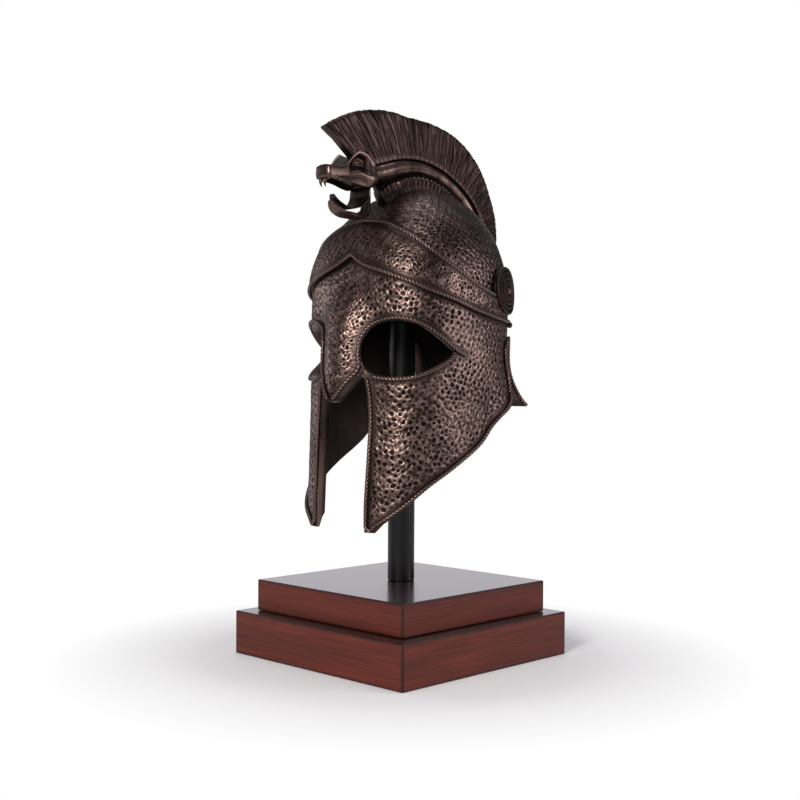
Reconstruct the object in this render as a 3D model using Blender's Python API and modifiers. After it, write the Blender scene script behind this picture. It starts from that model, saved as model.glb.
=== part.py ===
# Greek bronze helmet of the Corinthian form on a round black post with a stepped wooden base.
# Metres, +Z up. The origin is the centre of the base's underside, the helmet faces -Y.
import math

import bmesh
import bpy
import numpy as np
from mathutils import Vector

# Driving dimensions of the stand
BASE_LOWER_SIDE = 0.230
BASE_LOWER_HEIGHT = 0.042
BASE_UPPER_SIDE = 0.1996
BASE_UPPER_HEIGHT = 0.0304
BASE_BEVEL = 0.0012
POST_DIAMETER = 0.0262
POST_WALL = 0.0020
POST_LENGTH = 0.3640
SEAT_GAP = 0.0003
CROWN_MARGIN = 0.0000

# Driving dimensions of the helmet
HELMET_HEIGHT = 0.329
HALF_WIDTH = 0.0890
FRONT_REACH = 0.0845
BACK_REACH = 0.1100
NASAL_RISE = 0.0190
NASAL_HALF_WIDTH = 0.0255
WALL = 0.0100
CENTRE_Y = 0.0112
CROWN_SHIFT = 0.0120
NECK_FLARE = 0.0310

# Cheek pieces, face gap and neck guard, heights above the cheek tips
NECK_RIM_HEIGHT = 0.1130
FACE_GAP_HALF_WIDTH = 0.0350
FACE_GAP_TOP_HEIGHT = 0.1460
EYE_LENGTH = 0.0900
EYE_HEIGHT = 0.0565
EYE_CENTRE_HEIGHT = 0.1685
EYE_CENTRE_ACROSS = 0.0030
EYE_AXIS = math.radians(-45.0)

# Rope borders, brow band and rosettes
ROPE_RADIUS = 0.0018
ROPE_INSET = 0.0022
ROPE_SEAT = 0.0006
ROPE_TOLERANCE = 0.00030
BAND_THICKNESS = 0.0036
BAND_SEAT = 0.0007
BAND_ROPE_LIFT = 0.0031
BAND_END = 27.0
LOWER_ROPE_END = 39.0
ROSETTE_RADIUS = 0.0230
ROSETTE_THICKNESS = 0.0060
ROSETTE_ANGLE = math.radians(29.0)
ROSETTE_HEIGHT = 0.2265
KNOB_RADIUS = 0.0030
KNOB_ANGLE = math.radians(42.0)
KNOB_DROP = 0.0315
NOTCH_DROP = 0.0430
NOTCH_APEX_HEIGHT = ROSETTE_HEIGHT - NOTCH_DROP

# Crest and serpent, radii measured from the crest's centre in the middle plane
CREST_CENTRE_Y = 0.0200
CREST_CENTRE_DROP = 0.0990
CREST_CENTRE_HEIGHT = HELMET_HEIGHT - CREST_CENTRE_DROP
RIDGE_HALF_WIDTH = 0.0110
RIDGE_RISE = 0.0085
WEB_HALF_WIDTH = 0.0045
LEDGE_FRONT = 108.0
LEDGE_TAPER = 5.0
NECK_RADIUS = 0.0066
NECK_RISE = 0.0200
STRIP_HALF_WIDTH = 0.0062
STRIP_THICKNESS = 0.0052
PLUME_HALF_WIDTH = 0.0048
CREST_RADIUS = 0.1720
HEAD_LENGTH = 0.0620
HEAD_BACK_SHARE = 0.034
HEAD_DROP = 0.5265
HEAD_HALF_WIDTH = 0.0155
HEAD_HEIGHT = 0.0330
FANG_LENGTH = 0.0080
FANG_RADIUS = 0.0020
FANG_PLACE = (0.055, 0.180)
JAW_THICKNESS = 0.0026
JAW_HALF_WIDTH = 0.0095
JAW_KEEL = 0.0070
TONGUE_THICKNESS = 0.0018
TONGUE_HALF_WIDTH = 0.0140

# Materials: colour, roughness, metallic
BRONZE = ((0.085, 0.055, 0.045), 0.38, 1.0)
BRONZE_POLISHED = ((0.130, 0.085, 0.070), 0.28, 1.0)
BLACK = ((0.012, 0.011, 0.011), 0.30, 0.0)
MAHOGANY = ((0.110, 0.020, 0.012), 0.22, 0.0)

# Sections of the helmet from the cheek tips up. Height is a share of HELMET_HEIGHT, width of HALF_WIDTH,
# front of FRONT_REACH and nasal of NASAL_RISE.
SECTIONS = (
    # height, width, front, nasal
    (-0.040, 0.895, 1.000, 0.000),
    (0.061, 0.921, 0.994, 0.000),
    (0.152, 0.944, 0.964, 0.210),
    (0.243, 0.961, 0.929, 0.630),
    (0.365, 0.978, 0.893, 1.000),
    (0.486, 0.989, 0.882, 1.000),
    (0.578, 0.994, 0.876, 0.790),
    (0.653, 1.000, 0.864, 0.370),
    (0.714, 1.000, 0.852, 0.050),
    (0.790, 1.000, 0.852, 0.000),
)
DOME_START = 0.675
DOME_POWER = 1.95
FRONT_POWER = 3.0
BACK_POWER = 2.2
FLARE_START = 0.517
FLARE_POWER = 2.4
FLARE_FROM = 0.2
FLARE_EASE = 0.15

# Outline of an eye, seen along its axis: across is a share of EYE_LENGTH, up of EYE_HEIGHT
EYE_OUTLINE = (
    # across, up
    (0.520, -0.060),
    (0.385, -0.235),
    (0.230, -0.370),
    (0.060, -0.470),
    (-0.105, -0.495),
    (-0.290, -0.470),
    (-0.400, -0.400),
    (-0.470, -0.270),
    (-0.500, -0.080),
    (-0.475, 0.155),
    (-0.385, 0.365),
    (-0.250, 0.475),
    (-0.105, 0.505),
    (0.030, 0.475),
    (0.185, 0.390),
    (0.335, 0.220),
    (0.470, 0.045),
)
EYE_TAIL = ((0.545, -0.040), (0.625, -0.105))
EYE_LOWER_ROWS = 6
EYE_UPPER_FROM = 8
EYE_LOWER_START = (-0.355, -0.437)
NASAL_ROWS = 3
NASAL_TOP = ((0.525, 0.975), (0.640, 1.010), (0.692, 1.040))

# Edge of the face gap from the nasal's tip to the cheek tip: across is a share of FACE_GAP_HALF_WIDTH,
# up runs from 0 at the cheek tips to 1 at the top of the gap
FACE_GAP_EDGE = (
    # across, up
    (0.000, 0.825),
    (0.145, 0.848),
    (0.425, 0.945),
    (0.640, 0.998),
    (0.760, 1.000),
    (0.880, 0.970),
    (0.930, 0.900),
    (0.975, 0.810),
    (1.010, 0.700),
    (1.005, 0.520),
    (0.995, 0.250),
    (0.995, 0.020),
)

# Side outline: along is a share of BACK_REACH, up of NOTCH_APEX_HEIGHT
CHEEK_LOWER_EDGE = (
    # along, up
    (-0.735, 0.000),
    (-0.700, 0.050),
    (-0.580, 0.135),
    (-0.393, 0.237),
    (-0.166, 0.320),
    (0.160, 0.437),
    (0.370, 0.560),
    (0.520, 0.620),
)
CHEEK_BACK_EDGE = (
    (0.590, 0.660),
    (0.625, 0.720),
    (0.625, 0.790),
    (0.585, 0.870),
    (0.580, 0.930),
    (0.625, 0.985),
    (0.680, 1.000),
)
NECK_FRONT_EDGE = (
    # along in shares of BACK_REACH, up in shares of the height from the guard's rim to the notch
    (0.705, 1.005),
    (0.740, 0.935),
    (0.775, 0.740),
    (0.800, 0.532),
    (0.830, 0.323),
    (0.870, 0.128),
    (0.915, 0.042),
)
RIM_ROPE_FROM = 55.0

# Rope lines of the brow band: angle in degrees from +X, height as a share of HELMET_HEIGHT
BAND_UPPER_LINE = (
    # angle, height
    (-90.0, 0.882),
    (-68.6, 0.871),
    (-56.6, 0.849),
    (-45.7, 0.823),
    (-34.0, 0.783),
    (-20.6, 0.740),
    (-2.1, 0.696),
    (17.0, 0.668),
)
BAND_LOWER_LINE = (
    (-90.0, 0.783),
    (-78.2, 0.755),
    (-60.5, 0.726),
    (-47.9, 0.702),
    (-34.2, 0.674),
    (-21.0, 0.652),
    (-2.0, 0.625),
    (19.1, 0.608),
    (38.0, 0.602),
)

# Crest in the middle plane, angles in degrees at the crest's centre from +Y
RIDGE_FRONT = 121.0
STRIP_FRONT = 119.5
CREST_BACK = 13.0
CREST_STEP = 7.2
SERPENT_LINE = (
    # angle, rise in shares of NECK_RISE above the skull, thickness of NECK_RADIUS, ledge of RIDGE_RISE
    (121.0, 1.560, 1.38, 1.65),
    (116.0, 1.400, 1.40, 1.65),
    (110.0, 1.270, 1.38, 1.60),
    (98.0, 1.140, 1.22, 1.50),
    (85.0, 1.070, 1.00, 1.30),
    (67.0, 1.020, 0.88, 1.05),
    (50.0, 1.060, 0.86, 1.00),
    (30.0, 0.960, 0.78, 1.00),
    (13.0, 0.740, 0.50, 1.00),
)
PLUME_TOP_LINE = (
    # angle, radius in shares of CREST_RADIUS
    (131.5, 1.118),
    (123.0, 1.094),
    (117.0, 1.076),
    (110.0, 1.050),
    (102.0, 1.018),
    (94.0, 0.987),
    (86.0, 0.982),
    (78.0, 0.982),
    (70.0, 0.978),
    (60.0, 0.955),
    (52.0, 0.922),
    (44.0, 0.877),
    (36.0, 0.838),
    (28.0, 0.785),
    (20.0, 0.724),
    (13.0, 0.672),
)
PLUME_FOOT_FRONT = 127.2

# Serpent's head from the snout to the neck: along is a share of HEAD_LENGTH, width of HEAD_HALF_WIDTH, and
# bottom, brow and crown are shares of HEAD_HEIGHT above the chin line
HEAD_SECTIONS = (
    # along, width, bottom, brow, crown
    (0.000, 0.500, 0.250, 0.500, 0.550),
    (0.040, 0.650, 0.200, 0.560, 0.605),
    (0.170, 0.700, 0.150, 0.560, 0.620),
    (0.330, 0.780, 0.130, 0.620, 0.680),
    (0.470, 0.920, 0.085, 0.880, 0.830),
    (0.590, 1.010, 0.030, 1.030, 0.940),
    (0.720, 1.040, 0.000, 0.970, 0.950),
    (0.830, 1.080, 0.050, 0.780, 0.900),
    (0.920, 1.060, 0.140, 0.680, 0.860),
    (1.000, 0.700, 0.200, 0.660, 0.820),
)
# Half of a section of the head: across is a share of its width, up runs from 0 at the bottom to 1 at the brow
# and 2 at the crown
HEAD_OUTLINE = (
    # across, up
    (0.000, 0.00),
    (0.600, 0.00),
    (0.920, 0.12),
    (1.000, 0.42),
    (0.960, 0.78),
    (0.880, 1.00),
    (0.660, 1.30),
    (0.360, 1.85),
    (0.000, 2.00),
)
# Lower jaw and tongue in the middle plane: along is a share of HEAD_LENGTH behind the snout, up of HEAD_HEIGHT
# above the chin line, width and sides are shares of the half width
JAW_LINE = (
    # along, up, width, sides, keel in shares of JAW_KEEL
    (0.165, -0.400, 0.36, 0.30, 0.00),
    (0.195, -0.520, 0.60, 0.32, 0.10),
    (0.290, -0.690, 0.90, 0.34, 0.70),
    (0.500, -0.810, 1.00, 0.32, 0.90),
    (0.740, -0.815, 1.00, 0.32, 0.75),
    (0.880, -0.740, 0.92, 0.34, 0.10),
    (0.950, -0.560, 0.76, 0.30, 0.00),
    (0.965, -0.300, 0.66, 0.28, 0.00),
    (0.968, 0.040, 0.62, 0.28, 0.00),
)
TONGUE_LINE = (
    # along, up, width
    (0.215, -0.200, 0.22),
    (0.255, -0.330, 0.40),
    (0.320, -0.440, 0.55),
    (0.460, -0.560, 0.78),
    (0.640, -0.500, 0.92),
    (0.750, -0.330, 0.97),
    (0.797, -0.160, 1.00),
    (0.805, -0.030, 1.00),
)

BASE_TOP = BASE_LOWER_HEIGHT + SEAT_GAP + BASE_UPPER_HEIGHT


# Scene helpers
def clear_scene():
    for old in list(bpy.data.objects):
        bpy.data.objects.remove(old, do_unlink=True)


def new_collection(name):
    collection = bpy.data.collections.new(name)
    bpy.context.scene.collection.children.link(collection)
    return collection


def new_material(name, look):
    colour, roughness, metallic = look
    material = bpy.data.materials.new(name)
    material.use_nodes = True
    shader = material.node_tree.nodes["Principled BSDF"]
    shader.inputs["Base Color"].default_value = (*colour, 1.0)
    shader.inputs["Roughness"].default_value = roughness
    shader.inputs["Metallic"].default_value = metallic
    return material


def add_object(name, mesh, look, smooth_angle=35.0):
    obj = bpy.data.objects.new(name, mesh)
    PARTS.objects.link(obj)
    obj.data.materials.append(new_material(name + "_finish", look))
    mesh.shade_smooth()
    mesh.set_sharp_from_angle(angle=math.radians(smooth_angle))
    return obj


def mesh_from_bmesh(name, bm):
    bmesh.ops.recalc_face_normals(bm, faces=bm.faces)
    mesh = bpy.data.meshes.new(name)
    bm.to_mesh(mesh)
    bm.free()
    return mesh


# Smooth curve through the rows of a table
def smooth_table(rows, column, at):
    table = np.array(rows, float)
    xs = table[:, 0]
    ys = table[:, column]
    if xs[0] > xs[-1]:
        xs, ys = xs[::-1], ys[::-1]
    at = np.clip(np.asarray(at, float), xs[0], xs[-1])
    widths = np.diff(xs)
    slopes = np.diff(ys) / widths
    tangents = np.zeros_like(ys)
    same_way = slopes[:-1] * slopes[1:] > 0.0
    both = slopes[:-1] + slopes[1:]
    tangents[1:-1] = np.where(same_way, 2.0 * slopes[:-1] * slopes[1:] / np.where(same_way, both, 1.0), 0.0)
    tangents[0] = slopes[0]
    tangents[-1] = slopes[-1]
    i = np.clip(np.searchsorted(xs, at) - 1, 0, len(widths) - 1)
    t = (at - xs[i]) / widths[i]
    return (
        ys[i] * (1.0 + 2.0 * t) * (1.0 - t) ** 2
        + tangents[i] * widths[i] * t * (1.0 - t) ** 2
        + ys[i + 1] * t * t * (3.0 - 2.0 * t)
        + tangents[i + 1] * widths[i] * t * t * (t - 1.0)
    )


def smooth_path(points, step):
    """Points about one step apart on a centripetal curve through the given points."""
    pts = [np.array(p, float) for p in points]
    pts = [2.0 * pts[0] - pts[1]] + pts + [2.0 * pts[-1] - pts[-2]]
    out = []
    for a, b, c, d in zip(pts, pts[1:], pts[2:], pts[3:]):
        count = max(1, int(math.ceil(np.linalg.norm(c - b) / step)))
        for k in range(count):
            t = k / count
            out.append(0.5 * (2.0 * b + (c - a) * t + (2.0 * a - 5.0 * b + 4.0 * c - d) * t * t
                              + (3.0 * b - a - 3.0 * c + d) * t ** 3))
    out.append(pts[-2])
    return np.array(out)


# The outer skin of the helmet. Heights are above the cheek tips.
def skin(angle, height, lift=0.0):
    angle = np.asarray(angle, float)
    height = np.asarray(height, float)
    if np.any(lift):
        step = 1e-4
        here = skin(angle, height)
        around = skin(angle + step * 10.0, height) - skin(angle - step * 10.0, height)
        up = skin(angle, height + step) - skin(angle, height - step)
        normal = np.cross(around, up)
        normal /= np.linalg.norm(normal, axis=-1, keepdims=True)
        return here + normal * np.asarray(lift, float)[..., None]
    share = height / HELMET_HEIGHT
    level = np.minimum(share, DOME_START)
    width = smooth_table(SECTIONS, 1, level) * HALF_WIDTH
    front = smooth_table(SECTIONS, 2, level) * FRONT_REACH
    nasal = smooth_table(SECTIONS, 3, share) * NASAL_RISE
    rise = np.clip((share - DOME_START) / (1.0 - DOME_START), 0.0, 0.999999)
    shrink = (1.0 - rise ** DOME_POWER) ** (1.0 / DOME_POWER)
    centre = CENTRE_Y + CROWN_SHIFT * rise ** 2
    c = np.cos(angle)
    s = np.sin(angle)
    ahead = s < 0.0
    reach = np.where(ahead, front + CENTRE_Y, BACK_REACH - CENTRE_Y) * shrink
    power = np.where(ahead, FRONT_POWER, BACK_POWER)
    radius = (np.abs(c / (width * shrink)) ** power + np.abs(s / reach) ** power) ** (-1.0 / power)
    x = radius * c
    y = centre + radius * s
    y = y - np.where(ahead, nasal * np.exp(-np.abs(x / NASAL_HALF_WIDTH) ** 2.4), 0.0)
    drop = np.clip((FLARE_START - share) / (FLARE_START - NECK_RIM_HEIGHT / HELMET_HEIGHT), 0.0, 1.15)
    behind = np.clip((s - FLARE_FROM) / (1.0 - FLARE_FROM), 0.0, 1.0)
    behind = behind ** 2 * (1.0 + FLARE_EASE) / (behind + FLARE_EASE)
    flare = NECK_FLARE * drop ** FLARE_POWER * behind
    return np.stack([x + flare * c, y + flare * s, height + 0.0 * x], axis=-1)


def skin_across(axis, across, height, lift=0.0):
    """Skin points seen along the horizontal axis at a place across it."""
    across = np.asarray(across, float)
    low = np.full(across.shape, axis - math.radians(89.0))
    high = np.full(across.shape, axis + math.radians(89.0))
    for _ in range(32):
        middle = 0.5 * (low + high)
        here = skin(middle, height)
        short = here[..., 1] * math.cos(axis) - here[..., 0] * math.sin(axis) < across
        low = np.where(short, middle, low)
        high = np.where(short, high, middle)
    return skin(0.5 * (low + high), height, lift)


def crest_radius(degrees, x=0.0):
    """Distance from the crest's centre to the skull at an angle in the plane at x."""
    low, high = 0.02, 0.20
    for _ in range(40):
        middle = 0.5 * (low + high)
        y = CREST_CENTRE_Y + middle * math.cos(math.radians(degrees))
        z = CREST_CENTRE_HEIGHT + middle * math.sin(math.radians(degrees))
        if z >= HELMET_HEIGHT * 0.99999:
            high = middle
            continue
        rise = max(0.0, (z / HELMET_HEIGHT - DOME_START) / (1.0 - DOME_START))
        centre = CENTRE_Y + CROWN_SHIFT * rise ** 2
        edge = skin(math.atan2(y - centre, x), z)
        if math.hypot(x, y - centre) < math.hypot(edge[0], edge[1] - centre):
            low = middle
        else:
            high = middle
    return 0.5 * (low + high)


def crest_point(degrees, radius, x=0.0):
    angle = math.radians(degrees)
    y = CREST_CENTRE_Y + radius * math.cos(angle)
    z = CREST_CENTRE_HEIGHT + radius * math.sin(angle)
    return np.array([x, y, z])


# The post's top meets the skull's inner face, which sets how high the helmet stands
def inner_crown_height():
    radius = POST_DIAMETER / 2.0
    low, high = 0.5 * HELMET_HEIGHT, HELMET_HEIGHT * 0.9999
    for _ in range(40):
        middle = 0.5 * (low + high)
        edge = skin(math.radians(-90.0), middle, -WALL)
        if -edge[1] > radius:
            low = middle
        else:
            high = middle
    return 0.5 * (low + high) - CROWN_MARGIN


TIP_Z = BASE_TOP + POST_LENGTH + SEAT_GAP - skin(math.radians(-90.0), inner_crown_height(), -WALL)[2]


def world(points):
    """Helmet heights start at the cheek tips; this lifts them to their place on the stand."""
    return np.asarray(points, float) + np.array([0.0, 0.0, TIP_Z])


# Builders
def loft(rings, tips=(None, None)):
    """A closed skin through rings of equal length, each end closed flat or drawn to a tip."""
    bm = bmesh.new()
    rows = [[bm.verts.new(tuple(p)) for p in ring] for ring in rings]
    count = len(rows[0])
    for low, high in zip(rows, rows[1:]):
        for k in range(count):
            bm.faces.new((low[k], low[(k + 1) % count], high[(k + 1) % count], high[k]))
    for row, tip in zip((rows[0], rows[-1]), tips):
        if tip is None:
            bm.faces.new(row)
            continue
        peak = bm.verts.new(tuple(tip))
        for k in range(count):
            bm.faces.new((row[k], row[(k + 1) % count], peak))
    return bm


def prism(name, outline, axis_from, axis_to):
    """A cutter: a flat outline of 3D points moved from one offset to another."""
    rings = [[Vector(p) + Vector(axis_from) for p in outline], [Vector(p) + Vector(axis_to) for p in outline]]
    obj = bpy.data.objects.new(name, mesh_from_bmesh(name, loft(rings)))
    CUTTERS.objects.link(obj)
    obj.hide_render = True
    obj.display_type = "WIRE"
    return obj


def cut(obj, cutter):
    modifier = obj.modifiers.new("cut_" + cutter.name, "BOOLEAN")
    modifier.operation = "DIFFERENCE"
    modifier.solver = "EXACT"
    modifier.object = cutter


def outline_offset(points, distance):
    """Moves a flat outline to its left by a distance."""
    pts = np.array(points, float)
    ahead = np.roll(pts, -1, axis=0) - np.roll(pts, 1, axis=0)
    ahead[0] = pts[1] - pts[0]
    ahead[-1] = pts[-1] - pts[-2]
    left = np.stack([-ahead[:, 1], ahead[:, 0]], axis=-1)
    left /= np.linalg.norm(left, axis=1, keepdims=True)
    return pts + left * distance


def simplify(points, tolerance, longest=0.014):
    """Keeps the points that hold a path within a tolerance."""
    keep = {0, len(points) - 1}
    spans = [(0, len(points) - 1)]
    while spans:
        first, last = spans.pop()
        if last - first < 2:
            continue
        chord = points[last] - points[first]
        length = np.linalg.norm(chord)
        away = points[first + 1:last] - points[first]
        if length > 1e-9:
            away = away - np.outer(away @ chord / length ** 2, chord)
        far = np.linalg.norm(away, axis=1)
        worst = int(np.argmax(far))
        if far[worst] > tolerance or length > longest:
            middle = first + 1 + worst if far[worst] > tolerance else (first + last) // 2
            keep.add(middle)
            spans += [(first, middle), (middle, last)]
    return points[sorted(keep)]


def tube(name, points, radius, look, resolution=1, radii=None):
    """A round bar of metal along a path, welded shut at its caps."""
    curve = bpy.data.curves.new(name + "_path", "CURVE")
    curve.dimensions = "3D"
    curve.bevel_depth = radius
    curve.bevel_resolution = resolution
    curve.use_fill_caps = True
    spline = curve.splines.new("POLY")
    spline.points.add(len(points) - 1)
    for k, p in enumerate(points):
        spline.points[k].co = (*p, 1.0)
        spline.points[k].radius = 1.0 if radii is None else radii[k]
    guide = bpy.data.objects.new(name + "_path", curve)
    CUTTERS.objects.link(guide)
    bpy.context.view_layer.update()
    solid = bpy.data.meshes.new_from_object(guide.evaluated_get(bpy.context.evaluated_depsgraph_get()))
    bpy.data.objects.remove(guide, do_unlink=True)
    bm = bmesh.new()
    bm.from_mesh(solid)
    bmesh.ops.remove_doubles(bm, verts=bm.verts, dist=1e-6)
    bpy.data.meshes.remove(solid)
    return add_object(name, mesh_from_bmesh(name, bm), look, 60.0)


def border(name, points):
    """A rope border; twisted strands are cast in its surface, its form is a round bar."""
    path = simplify(np.asarray(points, float), ROPE_TOLERANCE)
    return tube(name, world(path), ROPE_RADIUS, BRONZE_POLISHED)


def mirrored(points):
    return np.asarray(points, float) * np.array([-1.0, 1.0, 1.0])


# Outlines in the helmet's own frame
def eye_place(rows):
    return np.array(rows, float) * [EYE_LENGTH, EYE_HEIGHT] + [EYE_CENTRE_ACROSS, EYE_CENTRE_HEIGHT]


def eye_plane_points(table, inset=0.0):
    flat = eye_place(smooth_path(table, 0.12))
    return outline_offset(flat, inset) if inset else flat


def face_gap_points():
    flat = smooth_path(FACE_GAP_EDGE, 0.09)
    return np.stack([flat[:, 0] * FACE_GAP_HALF_WIDTH, flat[:, 1] * FACE_GAP_TOP_HEIGHT], axis=-1)


def side_points(table, step=0.07):
    flat = smooth_path(table, step)
    return np.stack([flat[:, 0] * BACK_REACH, flat[:, 1] * NOTCH_APEX_HEIGHT], axis=-1)


def neck_edge_points(step=0.07):
    """The front edge of the neck guard, which hangs between the guard's rim and the notch."""
    rise = 1.0 - NECK_RIM_HEIGHT / NOTCH_APEX_HEIGHT
    table = [(along, 1.0 + (up - 1.0) * rise) for along, up in NECK_FRONT_EDGE]
    return side_points(table, step)


def helmet_shell():
    front = np.arange(-25.0, 25.1, 5.0) - 90.0
    side = np.linspace(-65.0, 50.0, 18)[1:]
    back = np.linspace(50.0, 130.0, 9)[1:-1]
    angles = np.radians(np.concatenate([front, side, back, 180.0 - side[::-1]]))
    shares = np.concatenate([
        np.linspace(-0.035, 0.280, 5), np.linspace(0.320, 0.440, 6), np.linspace(0.475, 0.675, 6),
        [0.715, 0.757, 0.800, 0.845, 0.885, 0.922, 0.954, 0.979, 0.994]])
    rings = [world(skin(angles, np.full(len(angles), s * HELMET_HEIGHT))) for s in shares]
    peak = world([0.0, CENTRE_Y + CROWN_SHIFT, HELMET_HEIGHT])
    bm = loft(rings, (None, peak))
    bmesh.ops.recalc_face_normals(bm, faces=bm.faces)
    floor = min(bm.faces, key=lambda f: f.calc_center_median().z)
    bm.faces.remove(floor)
    mesh = bpy.data.meshes.new("helmet_shell")
    bm.to_mesh(mesh)
    bm.free()
    shell = add_object("helmet_shell", mesh, BRONZE, 50.0)
    wall = shell.modifiers.new("wall", "SOLIDIFY")
    wall.thickness = WALL
    wall.offset = -1.0
    reach = 0.20
    cut(shell, prism("side_cut", side_cut_outline(), (-reach, 0.0, 0.0), (reach, 0.0, 0.0)))
    cut(shell, prism("face_gap_cut", face_cut_outline(), (0.0, -reach, 0.0), (0.0, -0.02, 0.0)))
    for side, name in ((1.0, "left"), (-1.0, "right")):
        outline, towards = eye_cut_outline(side)
        cut(shell, prism("eye_cut_" + name, outline, towards * 0.03, towards * reach))
    return shell


def side_cut_outline():
    lower = side_points(CHEEK_LOWER_EDGE)
    back = side_points(CHEEK_BACK_EDGE)
    neck = neck_edge_points()
    edge = np.concatenate([lower, back, neck])
    edge = outline_offset(edge, -ROPE_INSET)
    rim = NECK_RIM_HEIGHT
    far = 0.25
    start = np.array([[-far, -ROPE_INSET]])
    end = np.array([[far, rim], [far, -0.08], [-far, -0.08]])
    flat = np.concatenate([start, edge, end])
    return world(np.stack([0.0 * flat[:, 0], flat[:, 0], flat[:, 1]], axis=-1))


def face_cut_outline():
    right = face_gap_points()
    right = outline_offset(right, -ROPE_INSET)
    right[0, 0] = 0.0
    left = right[::-1][:-1] * np.array([-1.0, 1.0])
    flat = np.concatenate([left, right])
    bottom = np.array([[right[-1, 0], -0.08], [-right[-1, 0], -0.08]])
    flat = np.concatenate([flat, bottom])
    return world(np.stack([flat[:, 0], 0.0 * flat[:, 0], flat[:, 1]], axis=-1))


def eye_cut_outline(side):
    flat = eye_plane_points(EYE_OUTLINE, -ROPE_INSET)
    right = np.array([-math.sin(EYE_AXIS), math.cos(EYE_AXIS), 0.0])
    points = flat[:, :1] * right + flat[:, 1:] * np.array([0.0, 0.0, 1.0])
    towards = np.array([math.cos(EYE_AXIS) * side, math.sin(EYE_AXIS), 0.0])
    if side < 0.0:
        points = mirrored(points)
    return world(points), towards


# Brow band and its ropes
def band_line(table, degrees):
    """Height of a line of the band at an angle from +X, the same on both sides of the face."""
    folded = -90.0 + np.abs(np.asarray(degrees, float) + 90.0)
    return smooth_table(table, 1, folded) * HELMET_HEIGHT


def rosette_centre():
    return skin(ROSETTE_ANGLE, ROSETTE_HEIGHT)


def last_angle(height_at, clear, furthest):
    """The angle at which a line on the skin comes within a distance of the rosette's centre."""
    centre = rosette_centre()
    for degrees in np.arange(-20.0, furthest, 0.25):
        if np.linalg.norm(skin(math.radians(degrees), height_at(degrees)) - centre) < clear:
            return degrees
    return furthest


def brow_band():
    rows = 5
    inset = ROPE_RADIUS + 0.0009
    ends = []
    for k in range(rows):
        share = k / (rows - 1)
        height_at = lambda d, share=share: band_row(d, share, inset)
        ends.append(last_angle(height_at, ROSETTE_RADIUS + 0.0024, BAND_END))
    rings = []
    for at in np.linspace(-1.0, 1.0, 31):
        degrees = np.array([-90.0 + at * (end + 90.0) for end in ends])
        heights = np.array([band_row(d, k / (rows - 1), inset) for k, d in enumerate(degrees)])
        outer = skin(np.radians(degrees), heights, BAND_SEAT + BAND_THICKNESS)
        inner = skin(np.radians(degrees), heights, BAND_SEAT)
        rings.append(world(np.concatenate([outer, inner[::-1]])))
    return add_object("brow_band", mesh_from_bmesh("brow_band", loft(rings)), BRONZE, 50.0)


def band_row(degrees, share, inset):
    """Height of a row of the band, the outer rows held off the ropes' lines along the skin."""
    low = float(band_line(BAND_LOWER_LINE, degrees))
    high = float(band_line(BAND_UPPER_LINE, degrees))
    step = 1e-4
    angle = math.radians(degrees)
    low += inset * step / np.linalg.norm(skin(angle, low + step) - skin(angle, low)) * 1.12
    high -= inset * step / np.linalg.norm(skin(angle, high) - skin(angle, high - step)) * 1.16
    return low + (high - low) * share


def band_border(name, table, clear, furthest):
    height_at = lambda d: float(band_line(table, d))
    end = last_angle(height_at, clear, furthest)
    degrees = np.linspace(-180.0 - end, end, 221)
    border(name, skin(np.radians(degrees), band_line(table, degrees), BAND_ROPE_LIFT))


# Rope borders of the eyes, cheeks and neck guard, found on the left and mirrored
ROPE_LIFT = ROPE_SEAT + ROPE_RADIUS


def spaced(points):
    return smooth_path(points, 0.0014)


def on_front(flat):
    return skin_across(math.radians(-90.0), flat[:, 0], flat[:, 1], ROPE_LIFT)


def on_side(flat):
    return skin_across(0.0, flat[:, 0], flat[:, 1], ROPE_LIFT)


def on_eye(flat):
    return skin_across(EYE_AXIS, flat[:, 0], flat[:, 1], ROPE_LIFT)


def trim_near(points, others, clear=2.0 * ROPE_RADIUS + 0.0005):
    """Leaves out the points of a path that come too near another path."""
    points, others = np.array(points), np.array(others)
    near = np.linalg.norm(points[:, None] - others[None], axis=2).min(axis=1)
    return points[near > clear]


def eye_flat(rows):
    return spaced(eye_place(rows))


def upper_eye_border():
    """From the nasal's tip up its edge, round the eye's inner side and top to the tail behind it."""
    size = np.array([FACE_GAP_HALF_WIDTH, FACE_GAP_TOP_HEIGHT])
    nasal = spaced(np.array(FACE_GAP_EDGE[:NASAL_ROWS] + NASAL_TOP) * size)
    nasal = nasal[nasal[:, 0] > ROPE_RADIUS + 0.0003]
    eye = eye_flat(EYE_OUTLINE[EYE_UPPER_FROM:] + EYE_TAIL)
    return np.concatenate([on_front(nasal), on_eye(eye)])


def lower_eye_border(upper):
    eye = eye_flat((EYE_OUTLINE[:EYE_LOWER_ROWS] + (EYE_LOWER_START,))[::-1])
    return trim_near(on_eye(eye), upper)


def cheek_border(lower_eye):
    """From under the eye down the front edge, round the tip, up the lower and back edges to the ear notch."""
    size = np.array([FACE_GAP_HALF_WIDTH, FACE_GAP_TOP_HEIGHT])
    front = spaced(np.array(FACE_GAP_EDGE[5:]) * size)
    turn = 2.0 * ROPE_RADIUS
    side = side_points(CHEEK_LOWER_EDGE + CHEEK_BACK_EDGE[:-1], 0.013)
    side = on_side(side[side[:, 1] > turn])
    front = on_front(front[front[:, 1] > turn])
    tip = 0.5 * (front[-1] + side[0]) - np.array([0.0, 0.0, 1.05 * turn])
    corner = smooth_path([front[-2], front[-1], tip, side[0], side[1]], 0.0014)
    return trim_near(np.concatenate([front[:-2], corner, side[2:]]), lower_eye)


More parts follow.
